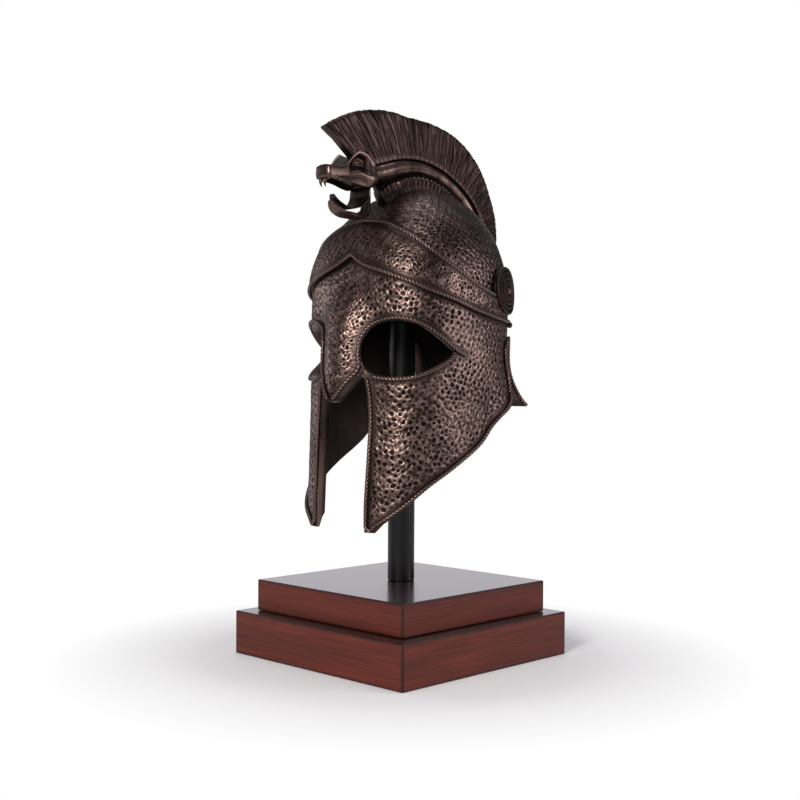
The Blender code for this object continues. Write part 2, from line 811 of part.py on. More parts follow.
def neck_border(cheek):
    side = trim_near(on_side(neck_edge_points(0.013)), cheek)
    degrees = np.arange(RIM_ROPE_FROM, 90.1, 1.0)
    rim = skin(np.radians(degrees), np.full(len(degrees), NECK_RIM_HEIGHT + ROPE_INSET), ROPE_LIFT)
    half = np.concatenate([side[:-1], spaced([side[-1], rim[0]]), rim[1:]])
    return np.concatenate([half, mirrored(half[:-1])[::-1]])


def borders():
    upper = upper_eye_border()
    lower = lower_eye_border(upper)
    cheek = cheek_border(lower)
    for name, points in (("eye_border_upper", upper), ("eye_border_lower", lower), ("cheek_border", cheek)):
        border(name + "_left", points)
        border(name + "_right", mirrored(points))
    border("neck_border", neck_border(cheek))


# Rosettes and knobs
ROSETTE_PROFILE = (
    # radius share, lift share of the thickness; outer face from the middle out, then the back
    (0.14, 1.00),
    (0.34, 0.86),
    (0.62, 0.90),
    (0.84, 0.84),
    (0.94, 0.86),
    (1.00, 0.55),
    (0.98, 0.00),
    (0.50, 0.00),
)


def rosette_point(across, up, lift):
    centre = rosette_centre()
    right = np.array([-math.sin(ROSETTE_ANGLE), math.cos(ROSETTE_ANGLE)])
    return skin_across(ROSETTE_ANGLE, centre[:2] @ right + across, ROSETTE_HEIGHT + up, lift)


def rosettes():
    turns = np.linspace(0.0, 2.0 * math.pi, 20, endpoint=False)
    rings = []
    for radius, lift in ROSETTE_PROFILE:
        reach = radius * ROSETTE_RADIUS
        height = BAND_SEAT + lift * ROSETTE_THICKNESS
        rings.append(rosette_point(reach * np.cos(turns), reach * np.sin(turns), height))
    front = rosette_point(0.0, 0.0, BAND_SEAT + 1.04 * ROSETTE_THICKNESS)
    back = rosette_point(0.0, 0.0, BAND_SEAT)
    for side, flip in (("left", np.array), ("right", mirrored)):
        bm = loft([world(flip(ring)) for ring in rings], (world(flip(front)), world(flip(back))))
        add_object("rosette_" + side, mesh_from_bmesh("rosette_" + side, bm), BRONZE_POLISHED, 40.0)


def side_knobs():
    foot = skin(KNOB_ANGLE, ROSETTE_HEIGHT - KNOB_DROP, BAND_SEAT)
    top = skin(KNOB_ANGLE, ROSETTE_HEIGHT - KNOB_DROP, BAND_SEAT + 1.5 * KNOB_RADIUS)
    shares = (0.0, 0.55, 0.85, 1.0)
    points = np.array([foot + (top - foot) * share for share in shares])
    for side, flip in (("left", np.array), ("right", mirrored)):
        tube("side_knob_" + side, world(flip(points)), KNOB_RADIUS, BRONZE_POLISHED, 2, (0.9, 1.0, 0.8, 0.4))


# Crest, in polar stations of the middle plane
def crest_stations(front):
    count = int(math.ceil((front - CREST_BACK) / CREST_STEP))
    return np.linspace(CREST_BACK, front, count + 1)


def serpent_radius(degrees):
    return float(smooth_table(SERPENT_LINE, 2, degrees)) * NECK_RADIUS


def ledge_rise(degrees):
    return smooth_table(SERPENT_LINE, 3, degrees) * RIDGE_RISE


def ledge_half_width(degrees):
    """The ledge keeps its width up to its front, where it narrows to the web's foot."""
    share = np.clip((degrees - LEDGE_FRONT) / LEDGE_TAPER, 0.0, 1.0)
    return RIDGE_HALF_WIDTH + (1.5 * WEB_HALF_WIDTH - RIDGE_HALF_WIDTH) * share


def serpent_centre(degrees):
    rise = float(smooth_table(SERPENT_LINE, 1, degrees)) * NECK_RISE
    least = float(ledge_rise(degrees)) + serpent_radius(degrees) + 3.0 * SEAT_GAP
    return crest_radius(degrees) + max(rise, least)


def strip_bottom(degrees):
    return serpent_centre(degrees) + serpent_radius(degrees) + SEAT_GAP


def crest_ridge():
    """The pleated ledge on the skull with the web that carries the serpent's body."""
    rings = []
    for degrees in crest_stations(RIDGE_FRONT):
        half = float(ledge_half_width(degrees))
        edge = crest_radius(degrees, half) + BAND_SEAT
        middle = crest_radius(degrees) + BAND_SEAT
        ledge = crest_radius(degrees) + float(ledge_rise(degrees))
        web = serpent_centre(degrees) - serpent_radius(degrees) - SEAT_GAP
        half_outline = [(half, edge), (half, ledge - 0.0008), (WEB_HALF_WIDTH, ledge), (WEB_HALF_WIDTH, web)]
        outline = [(0.0, middle)] + half_outline + [(-x, radius) for x, radius in half_outline[::-1]]
        rings.append(world([crest_point(degrees, radius, x) for x, radius in outline]))
    add_object("crest_ridge", mesh_from_bmesh("crest_ridge", loft(rings)), BRONZE)


def serpent_neck():
    turns = np.linspace(0.0, 2.0 * math.pi, 10, endpoint=False)
    rings = []
    for degrees in crest_stations(RIDGE_FRONT - 4.0):
        radius = serpent_radius(degrees)
        centre = serpent_centre(degrees)
        rings.append([crest_point(degrees, centre + radius * math.cos(t), radius * math.sin(t)) for t in turns])
    joint = np.array([0.0, HEAD_BACK_Y + SEAT_GAP, NECK_END[2]])
    radius = serpent_radius(RIDGE_FRONT)
    rings.append([joint + radius * np.array([math.sin(t), 0.0, math.cos(t)]) for t in turns])
    bm = loft([world(r) for r in rings])
    add_object("serpent_neck", mesh_from_bmesh("serpent_neck", bm), BRONZE_POLISHED)


def crest_strip():
    rings = []
    for degrees in crest_stations(STRIP_FRONT):
        low = strip_bottom(degrees)
        high = low + STRIP_THICKNESS
        half = [(STRIP_HALF_WIDTH, low), (STRIP_HALF_WIDTH, high)]
        outline = half + [(-x, radius) for x, radius in half[::-1]]
        rings.append(world([crest_point(degrees, radius, x) for x, radius in outline]))
    add_object("crest_strip", mesh_from_bmesh("crest_strip", loft(rings)), BRONZE)


def crest_plume():
    """The hair: a plate that stands on the strip and, at the front, over the serpent's head."""
    over_head = np.linspace(STRIP_FRONT + 1.0, PLUME_FOOT_FRONT - 1.5, 4)
    stations = list(crest_stations(STRIP_FRONT)) + list(over_head)
    last = float(PLUME_TOP_LINE[0][0])
    rings = []
    for at in stations + [PLUME_FOOT_FRONT]:
        low = strip_bottom(at) + STRIP_THICKNESS + SEAT_GAP if at <= STRIP_FRONT else 0.0
        low = max(low, head_clear_radius(at))
        top_at = last if at == PLUME_FOOT_FRONT else at
        high = max(float(smooth_table(PLUME_TOP_LINE, 1, top_at)) * CREST_RADIUS, low + 0.0020)
        rings.append(world([crest_point(at, low, -PLUME_HALF_WIDTH), crest_point(at, low, PLUME_HALF_WIDTH),
                            crest_point(top_at, high, PLUME_HALF_WIDTH),
                            crest_point(top_at, high, -PLUME_HALF_WIDTH)]))
    add_object("crest_plume", mesh_from_bmesh("crest_plume", loft(rings)), BRONZE)


# Serpent's head. Its back meets the neck, and the chin line hangs below the neck's middle.
NECK_END = crest_point(RIDGE_FRONT, serpent_centre(RIDGE_FRONT))
HEAD_BACK_Y = NECK_END[1] - HEAD_BACK_SHARE * HEAD_LENGTH
CHIN_HEIGHT = NECK_END[2] - HEAD_DROP * HEAD_HEIGHT


def head_place(along, up, x=0.0):
    return np.array([x, HEAD_BACK_Y - (1.0 - along) * HEAD_LENGTH, CHIN_HEIGHT + up * HEAD_HEIGHT])


def head_row(along, column):
    return float(smooth_table(HEAD_SECTIONS, column, along))


def head_clear_radius(degrees):
    """The least distance from the crest's centre at which the plume stays over the serpent's head."""
    radius = np.linspace(0.6, 1.0, 300) * CREST_RADIUS
    y = CREST_CENTRE_Y + radius * math.cos(math.radians(degrees))
    z = CREST_CENTRE_HEIGHT + radius * math.sin(math.radians(degrees))
    along = 1.0 - (HEAD_BACK_Y - y) / HEAD_LENGTH
    brow, crown = smooth_table(HEAD_SECTIONS, 3, along), smooth_table(HEAD_SECTIONS, 4, along)
    top = np.maximum(crown, crown + 0.2 * (brow - crown))
    inside = (along > 0.0) & (along < 1.0) & (z < CHIN_HEIGHT + top * HEAD_HEIGHT + 2.0 * SEAT_GAP)
    return float(radius[inside].max()) if inside.any() else 0.0


def serpent_head():
    rings = []
    for along, width, bottom, brow, crown in HEAD_SECTIONS:
        half = []
        for across, up in HEAD_OUTLINE:
            height = bottom + (brow - bottom) * up if up <= 1.0 else brow + (crown - brow) * (up - 1.0)
            half.append((across * width * HEAD_HALF_WIDTH, height))
        full = half + [(-x, up) for x, up in half[-2:0:-1]]
        rings.append([head_place(along, up, x) for x, up in full])
    bm = loft([world(r) for r in rings])
    add_object("serpent_head", mesh_from_bmesh("serpent_head", bm), BRONZE_POLISHED, 45.0)


def serpent_fangs():
    along = FANG_PLACE[0]
    top = head_place(along, head_row(along, 2), 0.0)
    for side, name in ((1.0, "left"), (-1.0, "right")):
        root = top + np.array([side * FANG_PLACE[1] * HEAD_HALF_WIDTH, 0.0, -2.0 * SEAT_GAP])
        points = [root, root + [0.0, -0.05 * FANG_LENGTH, -0.35 * FANG_LENGTH],
                  root + [0.0, 0.0, -0.70 * FANG_LENGTH], root + [0.0, 0.10 * FANG_LENGTH, -FANG_LENGTH]]
        tube("serpent_fang_" + name, world(points), FANG_RADIUS, BRONZE_POLISHED, 1, (1.0, 0.85, 0.55, 0.12))


def plate_frames(table, steps):
    """Places along a line in the middle plane with the direction into the mouth and the other columns."""
    rows = np.array(table, float)
    ends = np.arange(len(rows), dtype=float)
    keyed = np.column_stack([ends, rows])
    out = []
    for at in np.linspace(0.0, ends[-1], steps):
        values = [float(smooth_table(keyed, k + 1, at)) for k in range(rows.shape[1])]
        before = [float(smooth_table(keyed, k + 1, max(at - 0.05, 0.0))) for k in (0, 1)]
        after = [float(smooth_table(keyed, k + 1, min(at + 0.05, ends[-1]))) for k in (0, 1)]
        way = head_place(*after) - head_place(*before)
        way /= np.linalg.norm(way)
        inward = np.array([0.0, -way[2], way[1]])
        out.append((head_place(values[0], values[1]), inward, values[2:]))
    return out


def under_head(table, thickness):
    """A plate's line with its last row raised to just under the head."""
    along = table[-1][0]
    reach = thickness / HEAD_LENGTH
    ceiling = min(head_row(np.clip(along + k * reach, 0.0, 1.0), 2) for k in (-1.0, 0.0, 1.0))
    top = ceiling - (1.3 * SEAT_GAP + 0.1 * thickness) / HEAD_HEIGHT
    return table[:-1] + ((along, top) + tuple(table[-1][2:]),)


def serpent_jaw():
    """A scoop with raised sides and a keel under the tongue, which runs back to a strut under the head."""
    rings = []
    thick = JAW_THICKNESS
    for place, inward, (width, sides, keel) in plate_frames(under_head(JAW_LINE, thick), 15):
        half = width * JAW_HALF_WIDTH
        lip = max(sides * JAW_HALF_WIDTH, 1.05 * thick)
        inner_edge = 0.95 * thick + 0.25 * (lip - thick)
        inside = (0.4 * half, max(thick, keel * JAW_KEEL))
        side = [(0.72 * half, 0.0), (half, 0.45 * lip), (half, lip), (half - 0.7 * thick, lip),
                (half - 0.8 * thick, inner_edge), (0.55 * half, thick), inside]
        outline = side + [(-x, up) for x, up in side[::-1]]
        rings.append(world([place + inward * up + np.array([x, 0.0, 0.0]) for x, up in outline]))
    add_object("serpent_jaw", mesh_from_bmesh("serpent_jaw", loft(rings)), BRONZE_POLISHED, 45.0)


def serpent_tongue():
    rings = []
    thick = 0.5 * TONGUE_THICKNESS
    for place, inward, (width,) in plate_frames(under_head(TONGUE_LINE, TONGUE_THICKNESS), 13):
        half = width * TONGUE_HALF_WIDTH
        outline = [(-half, 0.0), (-0.6 * half, -thick), (0.6 * half, -thick), (half, 0.0), (0.6 * half, thick),
                   (-0.6 * half, thick)]
        rings.append(world([place + inward * up + np.array([x, 0.0, 0.0]) for x, up in outline]))
    add_object("serpent_tongue", mesh_from_bmesh("serpent_tongue", loft(rings)), BRONZE_POLISHED, 45.0)


# Stand
def stand_post():
    outer = POST_DIAMETER / 2.0
    inner = outer - POST_WALL
    foot = BASE_TOP + SEAT_GAP
    top = foot + POST_LENGTH - SEAT_GAP
    edge = 0.0006
    outside = [(outer - edge, top), (outer, top - edge), (outer, foot + edge), (outer - edge, foot)]
    profile = [(inner, top)] + outside + [(inner, foot), (inner, top)]
    mesh = bpy.data.meshes.new("stand_post")
    mesh.from_pydata([(r, 0.0, z) for r, z in profile], [(k, k + 1) for k in range(len(profile) - 1)], [])
    post = add_object("stand_post", mesh, BLACK)
    turn = post.modifiers.new("turn", "SCREW")
    turn.steps = 32
    turn.render_steps = 32
    turn.use_merge_vertices = True
    turn.merge_threshold = 1e-5
    weld = post.modifiers.new("weld", "WELD")
    weld.merge_threshold = 1e-6


def base_tier(name, side, low, high):
    bm = bmesh.new()
    bmesh.ops.create_cube(bm, size=1.0)
    bmesh.ops.scale(bm, vec=(side, side, high - low), verts=bm.verts)
    bmesh.ops.translate(bm, vec=(0.0, 0.0, 0.5 * (low + high)), verts=bm.verts)
    bmesh.ops.bevel(bm, geom=bm.edges[:], offset=BASE_BEVEL, segments=2, affect="EDGES", profile=0.5)
    add_object(name, mesh_from_bmesh(name, bm), MAHOGANY, 30.0)


def stand():
    base_tier("base_lower", BASE_LOWER_SIDE, 0.0, BASE_LOWER_HEIGHT)
    low = BASE_LOWER_HEIGHT + SEAT_GAP
    base_tier("base_upper", BASE_UPPER_SIDE, low, low + BASE_UPPER_HEIGHT)
    stand_post()


clear_scene()
PARTS = new_collection("greek_bronze_helmet")
CUTTERS = new_collection("cutters")
helmet_shell()
brow_band()
rosette_clear = ROSETTE_RADIUS + ROPE_RADIUS + 0.0006
band_border("band_border_upper", BAND_UPPER_LINE, rosette_clear, BAND_END)
band_border("band_border_lower", BAND_LOWER_LINE, rosette_clear, LOWER_ROPE_END)
borders()
rosettes()
side_knobs()
crest_ridge()
serpent_neck()
serpent_head()
serpent_fangs()
serpent_jaw()
serpent_tongue()
crest_strip()
crest_plume()
stand()
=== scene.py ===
# Looks of the Greek bronze helmet: hammered shell, twisted rope borders, serpent crest, post and wooden base.
# Metres, +Z up, the helmet faces -Y, as in the part's own source, whose sizes and tables are repeated here.
import math

import bpy
import numpy as np
from mathutils import Matrix, Vector
from mathutils.kdtree import KDTree

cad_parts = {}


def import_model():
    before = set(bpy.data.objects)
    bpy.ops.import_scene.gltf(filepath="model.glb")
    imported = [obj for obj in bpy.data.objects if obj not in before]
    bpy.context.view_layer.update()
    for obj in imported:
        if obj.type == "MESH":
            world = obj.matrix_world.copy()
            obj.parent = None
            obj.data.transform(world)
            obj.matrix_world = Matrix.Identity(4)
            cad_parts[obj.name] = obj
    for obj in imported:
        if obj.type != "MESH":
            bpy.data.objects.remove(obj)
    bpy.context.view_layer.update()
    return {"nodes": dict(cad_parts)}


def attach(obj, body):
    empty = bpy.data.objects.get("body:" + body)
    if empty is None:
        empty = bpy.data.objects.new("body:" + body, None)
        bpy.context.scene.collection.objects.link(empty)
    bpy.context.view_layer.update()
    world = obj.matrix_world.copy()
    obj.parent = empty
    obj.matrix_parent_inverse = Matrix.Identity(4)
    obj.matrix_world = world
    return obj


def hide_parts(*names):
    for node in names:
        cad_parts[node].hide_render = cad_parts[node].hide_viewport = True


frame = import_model()


# Driving dimensions of the stand
BASE_LOWER_SIDE = 0.230
BASE_LOWER_HEIGHT = 0.042
BASE_UPPER_SIDE = 0.1996
BASE_UPPER_HEIGHT = 0.0304
POST_DIAMETER = 0.0262
POST_LENGTH = 0.3640
SEAT_GAP = 0.0003
CROWN_MARGIN = 0.0000

# Driving dimensions of the helmet
HELMET_HEIGHT = 0.329
HALF_WIDTH = 0.0890
FRONT_REACH = 0.0845
BACK_REACH = 0.1100
NASAL_RISE = 0.0190
NASAL_HALF_WIDTH = 0.0255
WALL = 0.0100
CENTRE_Y = 0.0112
CROWN_SHIFT = 0.0120
NECK_FLARE = 0.0310

# Cheek pieces, face gap and neck guard, heights above the cheek tips
NECK_RIM_HEIGHT = 0.1130
FACE_GAP_HALF_WIDTH = 0.0350
FACE_GAP_TOP_HEIGHT = 0.1460
EYE_LENGTH = 0.0900
EYE_HEIGHT = 0.0565
EYE_CENTRE_HEIGHT = 0.1685
EYE_CENTRE_ACROSS = 0.0030
EYE_AXIS = math.radians(-45.0)

# Rope borders, brow band and rosettes
ROPE_RADIUS = 0.0018
ROPE_INSET = 0.0022
ROPE_SEAT = 0.0006
BAND_THICKNESS = 0.0036
BAND_SEAT = 0.0007
BAND_END = 27.0
LOWER_ROPE_END = 39.0
ROSETTE_RADIUS = 0.0230
ROSETTE_THICKNESS = 0.0060
ROSETTE_ANGLE = math.radians(29.0)
ROSETTE_HEIGHT = 0.2265
NOTCH_DROP = 0.0430
NOTCH_APEX_HEIGHT = ROSETTE_HEIGHT - NOTCH_DROP

# Crest and serpent, radii measured from the crest's centre in the middle plane
CREST_CENTRE_Y = 0.0200
CREST_CENTRE_DROP = 0.0990
CREST_CENTRE_HEIGHT = HELMET_HEIGHT - CREST_CENTRE_DROP
RIDGE_HALF_WIDTH = 0.0110
RIDGE_RISE = 0.0085
WEB_HALF_WIDTH = 0.0045
LEDGE_FRONT = 108.0
LEDGE_TAPER = 5.0
NECK_RADIUS = 0.0066
NECK_RISE = 0.0200
STRIP_HALF_WIDTH = 0.0062
STRIP_THICKNESS = 0.0052
PLUME_HALF_WIDTH = 0.0048
CREST_RADIUS = 0.1720
HEAD_LENGTH = 0.0620
HEAD_BACK_SHARE = 0.034
HEAD_DROP = 0.5265
HEAD_HALF_WIDTH = 0.0155
HEAD_HEIGHT = 0.0330
FANG_LENGTH = 0.0080
FANG_RADIUS = 0.0020
FANG_PLACE = (0.055, 0.180)
JAW_THICKNESS = 0.0026
JAW_HALF_WIDTH = 0.0095
JAW_KEEL = 0.0070
TONGUE_THICKNESS = 0.0018
TONGUE_HALF_WIDTH = 0.0140


# Sections of the helmet from the cheek tips up. Height is a share of HELMET_HEIGHT, width of HALF_WIDTH,
# front of FRONT_REACH and nasal of NASAL_RISE.
SECTIONS = (
    # height, width, front, nasal
    (-0.040, 0.895, 1.000, 0.000),
    (0.061, 0.921, 0.994, 0.000),
    (0.152, 0.944, 0.964, 0.210),
    (0.243, 0.961, 0.929, 0.630),
    (0.365, 0.978, 0.893, 1.000),
    (0.486, 0.989, 0.882, 1.000),
    (0.578, 0.994, 0.876, 0.790),
    (0.653, 1.000, 0.864, 0.370),
    (0.714, 1.000, 0.852, 0.050),
    (0.790, 1.000, 0.852, 0.000),
)
DOME_START = 0.675
DOME_POWER = 1.95
FRONT_POWER = 3.0
BACK_POWER = 2.2
FLARE_START = 0.517
FLARE_POWER = 2.4
FLARE_FROM = 0.2
FLARE_EASE = 0.15

# Outline of an eye, seen along its axis: across is a share of EYE_LENGTH, up of EYE_HEIGHT
EYE_OUTLINE = (
    # across, up
    (0.520, -0.060),
    (0.385, -0.235),
    (0.230, -0.370),
    (0.060, -0.470),
    (-0.105, -0.495),
    (-0.290, -0.470),
    (-0.400, -0.400),
    (-0.470, -0.270),
    (-0.500, -0.080),
    (-0.475, 0.155),
    (-0.385, 0.365),
    (-0.250, 0.475),
    (-0.105, 0.505),
    (0.030, 0.475),
    (0.185, 0.390),
    (0.335, 0.220),
    (0.470, 0.045),
)
EYE_TAIL = ((0.545, -0.040), (0.625, -0.105))
EYE_LOWER_ROWS = 6
EYE_UPPER_FROM = 8
EYE_LOWER_START = (-0.355, -0.437)
NASAL_ROWS = 3
NASAL_TOP = ((0.525, 0.975), (0.640, 1.010), (0.692, 1.040))

# Edge of the face gap from the nasal's tip to the cheek tip: across is a share of FACE_GAP_HALF_WIDTH,
# up runs from 0 at the cheek tips to 1 at the top of the gap
FACE_GAP_EDGE = (
    # across, up
    (0.000, 0.825),
    (0.145, 0.848),
    (0.425, 0.945),
    (0.640, 0.998),
    (0.760, 1.000),
    (0.880, 0.970),
    (0.930, 0.900),
    (0.975, 0.810),
    (1.010, 0.700),
    (1.005, 0.520),
    (0.995, 0.250),
    (0.995, 0.020),
)

# Side outline: along is a share of BACK_REACH, up of NOTCH_APEX_HEIGHT
CHEEK_LOWER_EDGE = (
    # along, up
    (-0.735, 0.000),
    (-0.700, 0.050),
    (-0.580, 0.135),
    (-0.393, 0.237),
    (-0.166, 0.320),
    (0.160, 0.437),
    (0.370, 0.560),
    (0.520, 0.620),
)
CHEEK_BACK_EDGE = (
    (0.590, 0.660),
    (0.625, 0.720),
    (0.625, 0.790),
    (0.585, 0.870),
    (0.580, 0.930),
    (0.625, 0.985),
    (0.680, 1.000),
)
NECK_FRONT_EDGE = (
    # along in shares of BACK_REACH, up in shares of the height from the guard's rim to the notch
    (0.705, 1.005),
    (0.740, 0.935),
    (0.775, 0.740),
    (0.800, 0.532),
    (0.830, 0.323),
    (0.870, 0.128),
    (0.915, 0.042),
)
RIM_ROPE_FROM = 55.0

# Rope lines of the brow band: angle in degrees from +X, height as a share of HELMET_HEIGHT
BAND_UPPER_LINE = (
    # angle, height
    (-90.0, 0.882),
    (-68.6, 0.871),
    (-56.6, 0.849),
    (-45.7, 0.823),
    (-34.0, 0.783),
    (-20.6, 0.740),
    (-2.1, 0.696),
    (17.0, 0.668),
)
BAND_LOWER_LINE = (
    (-90.0, 0.783),
    (-78.2, 0.755),
    (-60.5, 0.726),
    (-47.9, 0.702),
    (-34.2, 0.674),
    (-21.0, 0.652),
    (-2.0, 0.625),
    (19.1, 0.608),
    (38.0, 0.602),
)

# Crest in the middle plane, angles in degrees at the crest's centre from +Y
RIDGE_FRONT = 121.0
STRIP_FRONT = 119.5
CREST_BACK = 13.0
SERPENT_LINE = (
    # angle, rise in shares of NECK_RISE above the skull, thickness of NECK_RADIUS, ledge of RIDGE_RISE
    (121.0, 1.560, 1.38, 1.65),
    (116.0, 1.400, 1.40, 1.65),
    (110.0, 1.270, 1.38, 1.60),
    (98.0, 1.140, 1.22, 1.50),
    (85.0, 1.070, 1.00, 1.30),
    (67.0, 1.020, 0.88, 1.05),
    (50.0, 1.060, 0.86, 1.00),
    (30.0, 0.960, 0.78, 1.00),
    (13.0, 0.740, 0.50, 1.00),
)
PLUME_TOP_LINE = (
    # angle, radius in shares of CREST_RADIUS
    (131.5, 1.118),
    (123.0, 1.094),
    (117.0, 1.076),
    (110.0, 1.050),
    (102.0, 1.018),
    (94.0, 0.987),
    (86.0, 0.982),
    (78.0, 0.982),
    (70.0, 0.978),
    (60.0, 0.955),
    (52.0, 0.922),
    (44.0, 0.877),
    (36.0, 0.838),
    (28.0, 0.785),
    (20.0, 0.724),
    (13.0, 0.672),
)
PLUME_FOOT_FRONT = 127.2

# Serpent's head from the snout to the neck: along is a share of HEAD_LENGTH, width of HEAD_HALF_WIDTH, and
# bottom, brow and crown are shares of HEAD_HEIGHT above the chin line
HEAD_SECTIONS = (
    # along, width, bottom, brow, crown
    (0.000, 0.500, 0.250, 0.500, 0.550),
    (0.040, 0.650, 0.200, 0.560, 0.605),
    (0.170, 0.700, 0.150, 0.560, 0.620),
    (0.330, 0.780, 0.130, 0.620, 0.680),
    (0.470, 0.920, 0.085, 0.880, 0.830),
    (0.590, 1.010, 0.030, 1.030, 0.940),
    (0.720, 1.040, 0.000, 0.970, 0.950),
    (0.830, 1.080, 0.050, 0.780, 0.900),
    (0.920, 1.060, 0.140, 0.680, 0.860),
    (1.000, 0.700, 0.200, 0.660, 0.820),
)
# Half of a section of the head: across is a share of its width, up runs from 0 at the bottom to 1 at the brow
# and 2 at the crown
HEAD_OUTLINE = (
    # across, up
    (0.000, 0.00),
    (0.600, 0.00),
    (0.920, 0.12),
    (1.000, 0.42),
    (0.960, 0.78),
    (0.880, 1.00),
    (0.660, 1.30),
    (0.360, 1.85),
    (0.000, 2.00),
)
# Lower jaw and tongue in the middle plane: along is a share of HEAD_LENGTH behind the snout, up is one of
# HEAD_HEIGHT above the chin line, width and sides are shares of the half width
JAW_LINE = (
    # along, up, width, sides, keel in shares of JAW_KEEL
    (0.165, -0.400, 0.36, 0.30, 0.00),
    (0.195, -0.520, 0.60, 0.32, 0.10),
    (0.290, -0.690, 0.90, 0.34, 0.70),
    (0.500, -0.810, 1.00, 0.32, 0.90),
    (0.740, -0.815, 1.00, 0.32, 0.75),
    (0.880, -0.740, 0.92, 0.34, 0.10),
    (0.950, -0.560, 0.76, 0.30, 0.00),
    (0.965, -0.300, 0.66, 0.28, 0.00),
    (0.968, 0.040, 0.62, 0.28, 0.00),
)
TONGUE_LINE = (
    # along, up, width
    (0.215, -0.200, 0.22),
    (0.255, -0.330, 0.40),
    (0.320, -0.440, 0.55),
    (0.460, -0.560, 0.78),
    (0.640, -0.500, 0.92),
    (0.750, -0.330, 0.97),
    (0.797, -0.160, 1.00),
    (0.805, -0.030, 1.00),
)

BASE_TOP = BASE_LOWER_HEIGHT + SEAT_GAP + BASE_UPPER_HEIGHT


# Smooth curve through the rows of a table
def smooth_table(rows, column, at):
    table = np.array(rows, float)
    xs = table[:, 0]
    ys = table[:, column]
    if xs[0] > xs[-1]:
        xs, ys = xs[::-1], ys[::-1]
    at = np.clip(np.asarray(at, float), xs[0], xs[-1])
    widths = np.diff(xs)
    slopes = np.diff(ys) / widths
    tangents = np.zeros_like(ys)
    same_way = slopes[:-1] * slopes[1:] > 0.0
    both = slopes[:-1] + slopes[1:]
    tangents[1:-1] = np.where(same_way, 2.0 * slopes[:-1] * slopes[1:] / np.where(same_way, both, 1.0), 0.0)
    tangents[0] = slopes[0]
    tangents[-1] = slopes[-1]
    i = np.clip(np.searchsorted(xs, at) - 1, 0, len(widths) - 1)
    t = (at - xs[i]) / widths[i]
    return (
        ys[i] * (1.0 + 2.0 * t) * (1.0 - t) ** 2
        + tangents[i] * widths[i] * t * (1.0 - t) ** 2
        + ys[i + 1] * t * t * (3.0 - 2.0 * t)
        + tangents[i + 1] * widths[i] * t * t * (t - 1.0)
    )


def smooth_path(points, step):
    """Points about one step apart on a centripetal curve through the given points."""
    pts = [np.array(p, float) for p in points]
    pts = [2.0 * pts[0] - pts[1]] + pts + [2.0 * pts[-1] - pts[-2]]
    out = []
    for a, b, c, d in zip(pts, pts[1:], pts[2:], pts[3:]):
        count = max(1, int(math.ceil(np.linalg.norm(c - b) / step)))
        for k in range(count):
            t = k / count
            out.append(0.5 * (2.0 * b + (c - a) * t + (2.0 * a - 5.0 * b + 4.0 * c - d) * t * t
                              + (3.0 * b - a - 3.0 * c + d) * t ** 3))
    out.append(pts[-2])
    return np.array(out)


# The outer skin of the helmet. Heights are above the cheek tips.
def skin(angle, height, lift=0.0):
    angle = np.asarray(angle, float)
    height = np.asarray(height, float)
    if np.any(lift):
        step = 1e-4
        here = skin(angle, height)
        around = skin(angle + step * 10.0, height) - skin(angle - step * 10.0, height)
        up = skin(angle, height + step) - skin(angle, height - step)
        normal = np.cross(around, up)
        normal /= np.linalg.norm(normal, axis=-1, keepdims=True)
        return here + normal * np.asarray(lift, float)[..., None]
    share = height / HELMET_HEIGHT
    level = np.minimum(share, DOME_START)
    width = smooth_table(SECTIONS, 1, level) * HALF_WIDTH
    front = smooth_table(SECTIONS, 2, level) * FRONT_REACH
    nasal = smooth_table(SECTIONS, 3, share) * NASAL_RISE
    rise = np.clip((share - DOME_START) / (1.0 - DOME_START), 0.0, 0.999999)
    shrink = (1.0 - rise ** DOME_POWER) ** (1.0 / DOME_POWER)
    centre = CENTRE_Y + CROWN_SHIFT * rise ** 2
    c = np.cos(angle)
    s = np.sin(angle)
    ahead = s < 0.0
    reach = np.where(ahead, front + CENTRE_Y, BACK_REACH - CENTRE_Y) * shrink
    power = np.where(ahead, FRONT_POWER, BACK_POWER)
    radius = (np.abs(c / (width * shrink)) ** power + np.abs(s / reach) ** power) ** (-1.0 / power)
    x = radius * c
    y = centre + radius * s
    y = y - np.where(ahead, nasal * np.exp(-np.abs(x / NASAL_HALF_WIDTH) ** 2.4), 0.0)
    drop = np.clip((FLARE_START - share) / (FLARE_START - NECK_RIM_HEIGHT / HELMET_HEIGHT), 0.0, 1.15)
    behind = np.clip((s - FLARE_FROM) / (1.0 - FLARE_FROM), 0.0, 1.0)
    behind = behind ** 2 * (1.0 + FLARE_EASE) / (behind + FLARE_EASE)
    flare = NECK_FLARE * drop ** FLARE_POWER * behind
    return np.stack([x + flare * c, y + flare * s, height + 0.0 * x], axis=-1)


def skin_across(axis, across, height, lift=0.0):
    """Skin points seen along the horizontal axis at a place across it."""
    across = np.asarray(across, float)
    low = np.full(across.shape, axis - math.radians(89.0))
    high = np.full(across.shape, axis + math.radians(89.0))
    for _ in range(32):
        middle = 0.5 * (low + high)
        here = skin(middle, height)
        short = here[..., 1] * math.cos(axis) - here[..., 0] * math.sin(axis) < across
        low = np.where(short, middle, low)
        high = np.where(short, high, middle)
    return skin(0.5 * (low + high), height, lift)


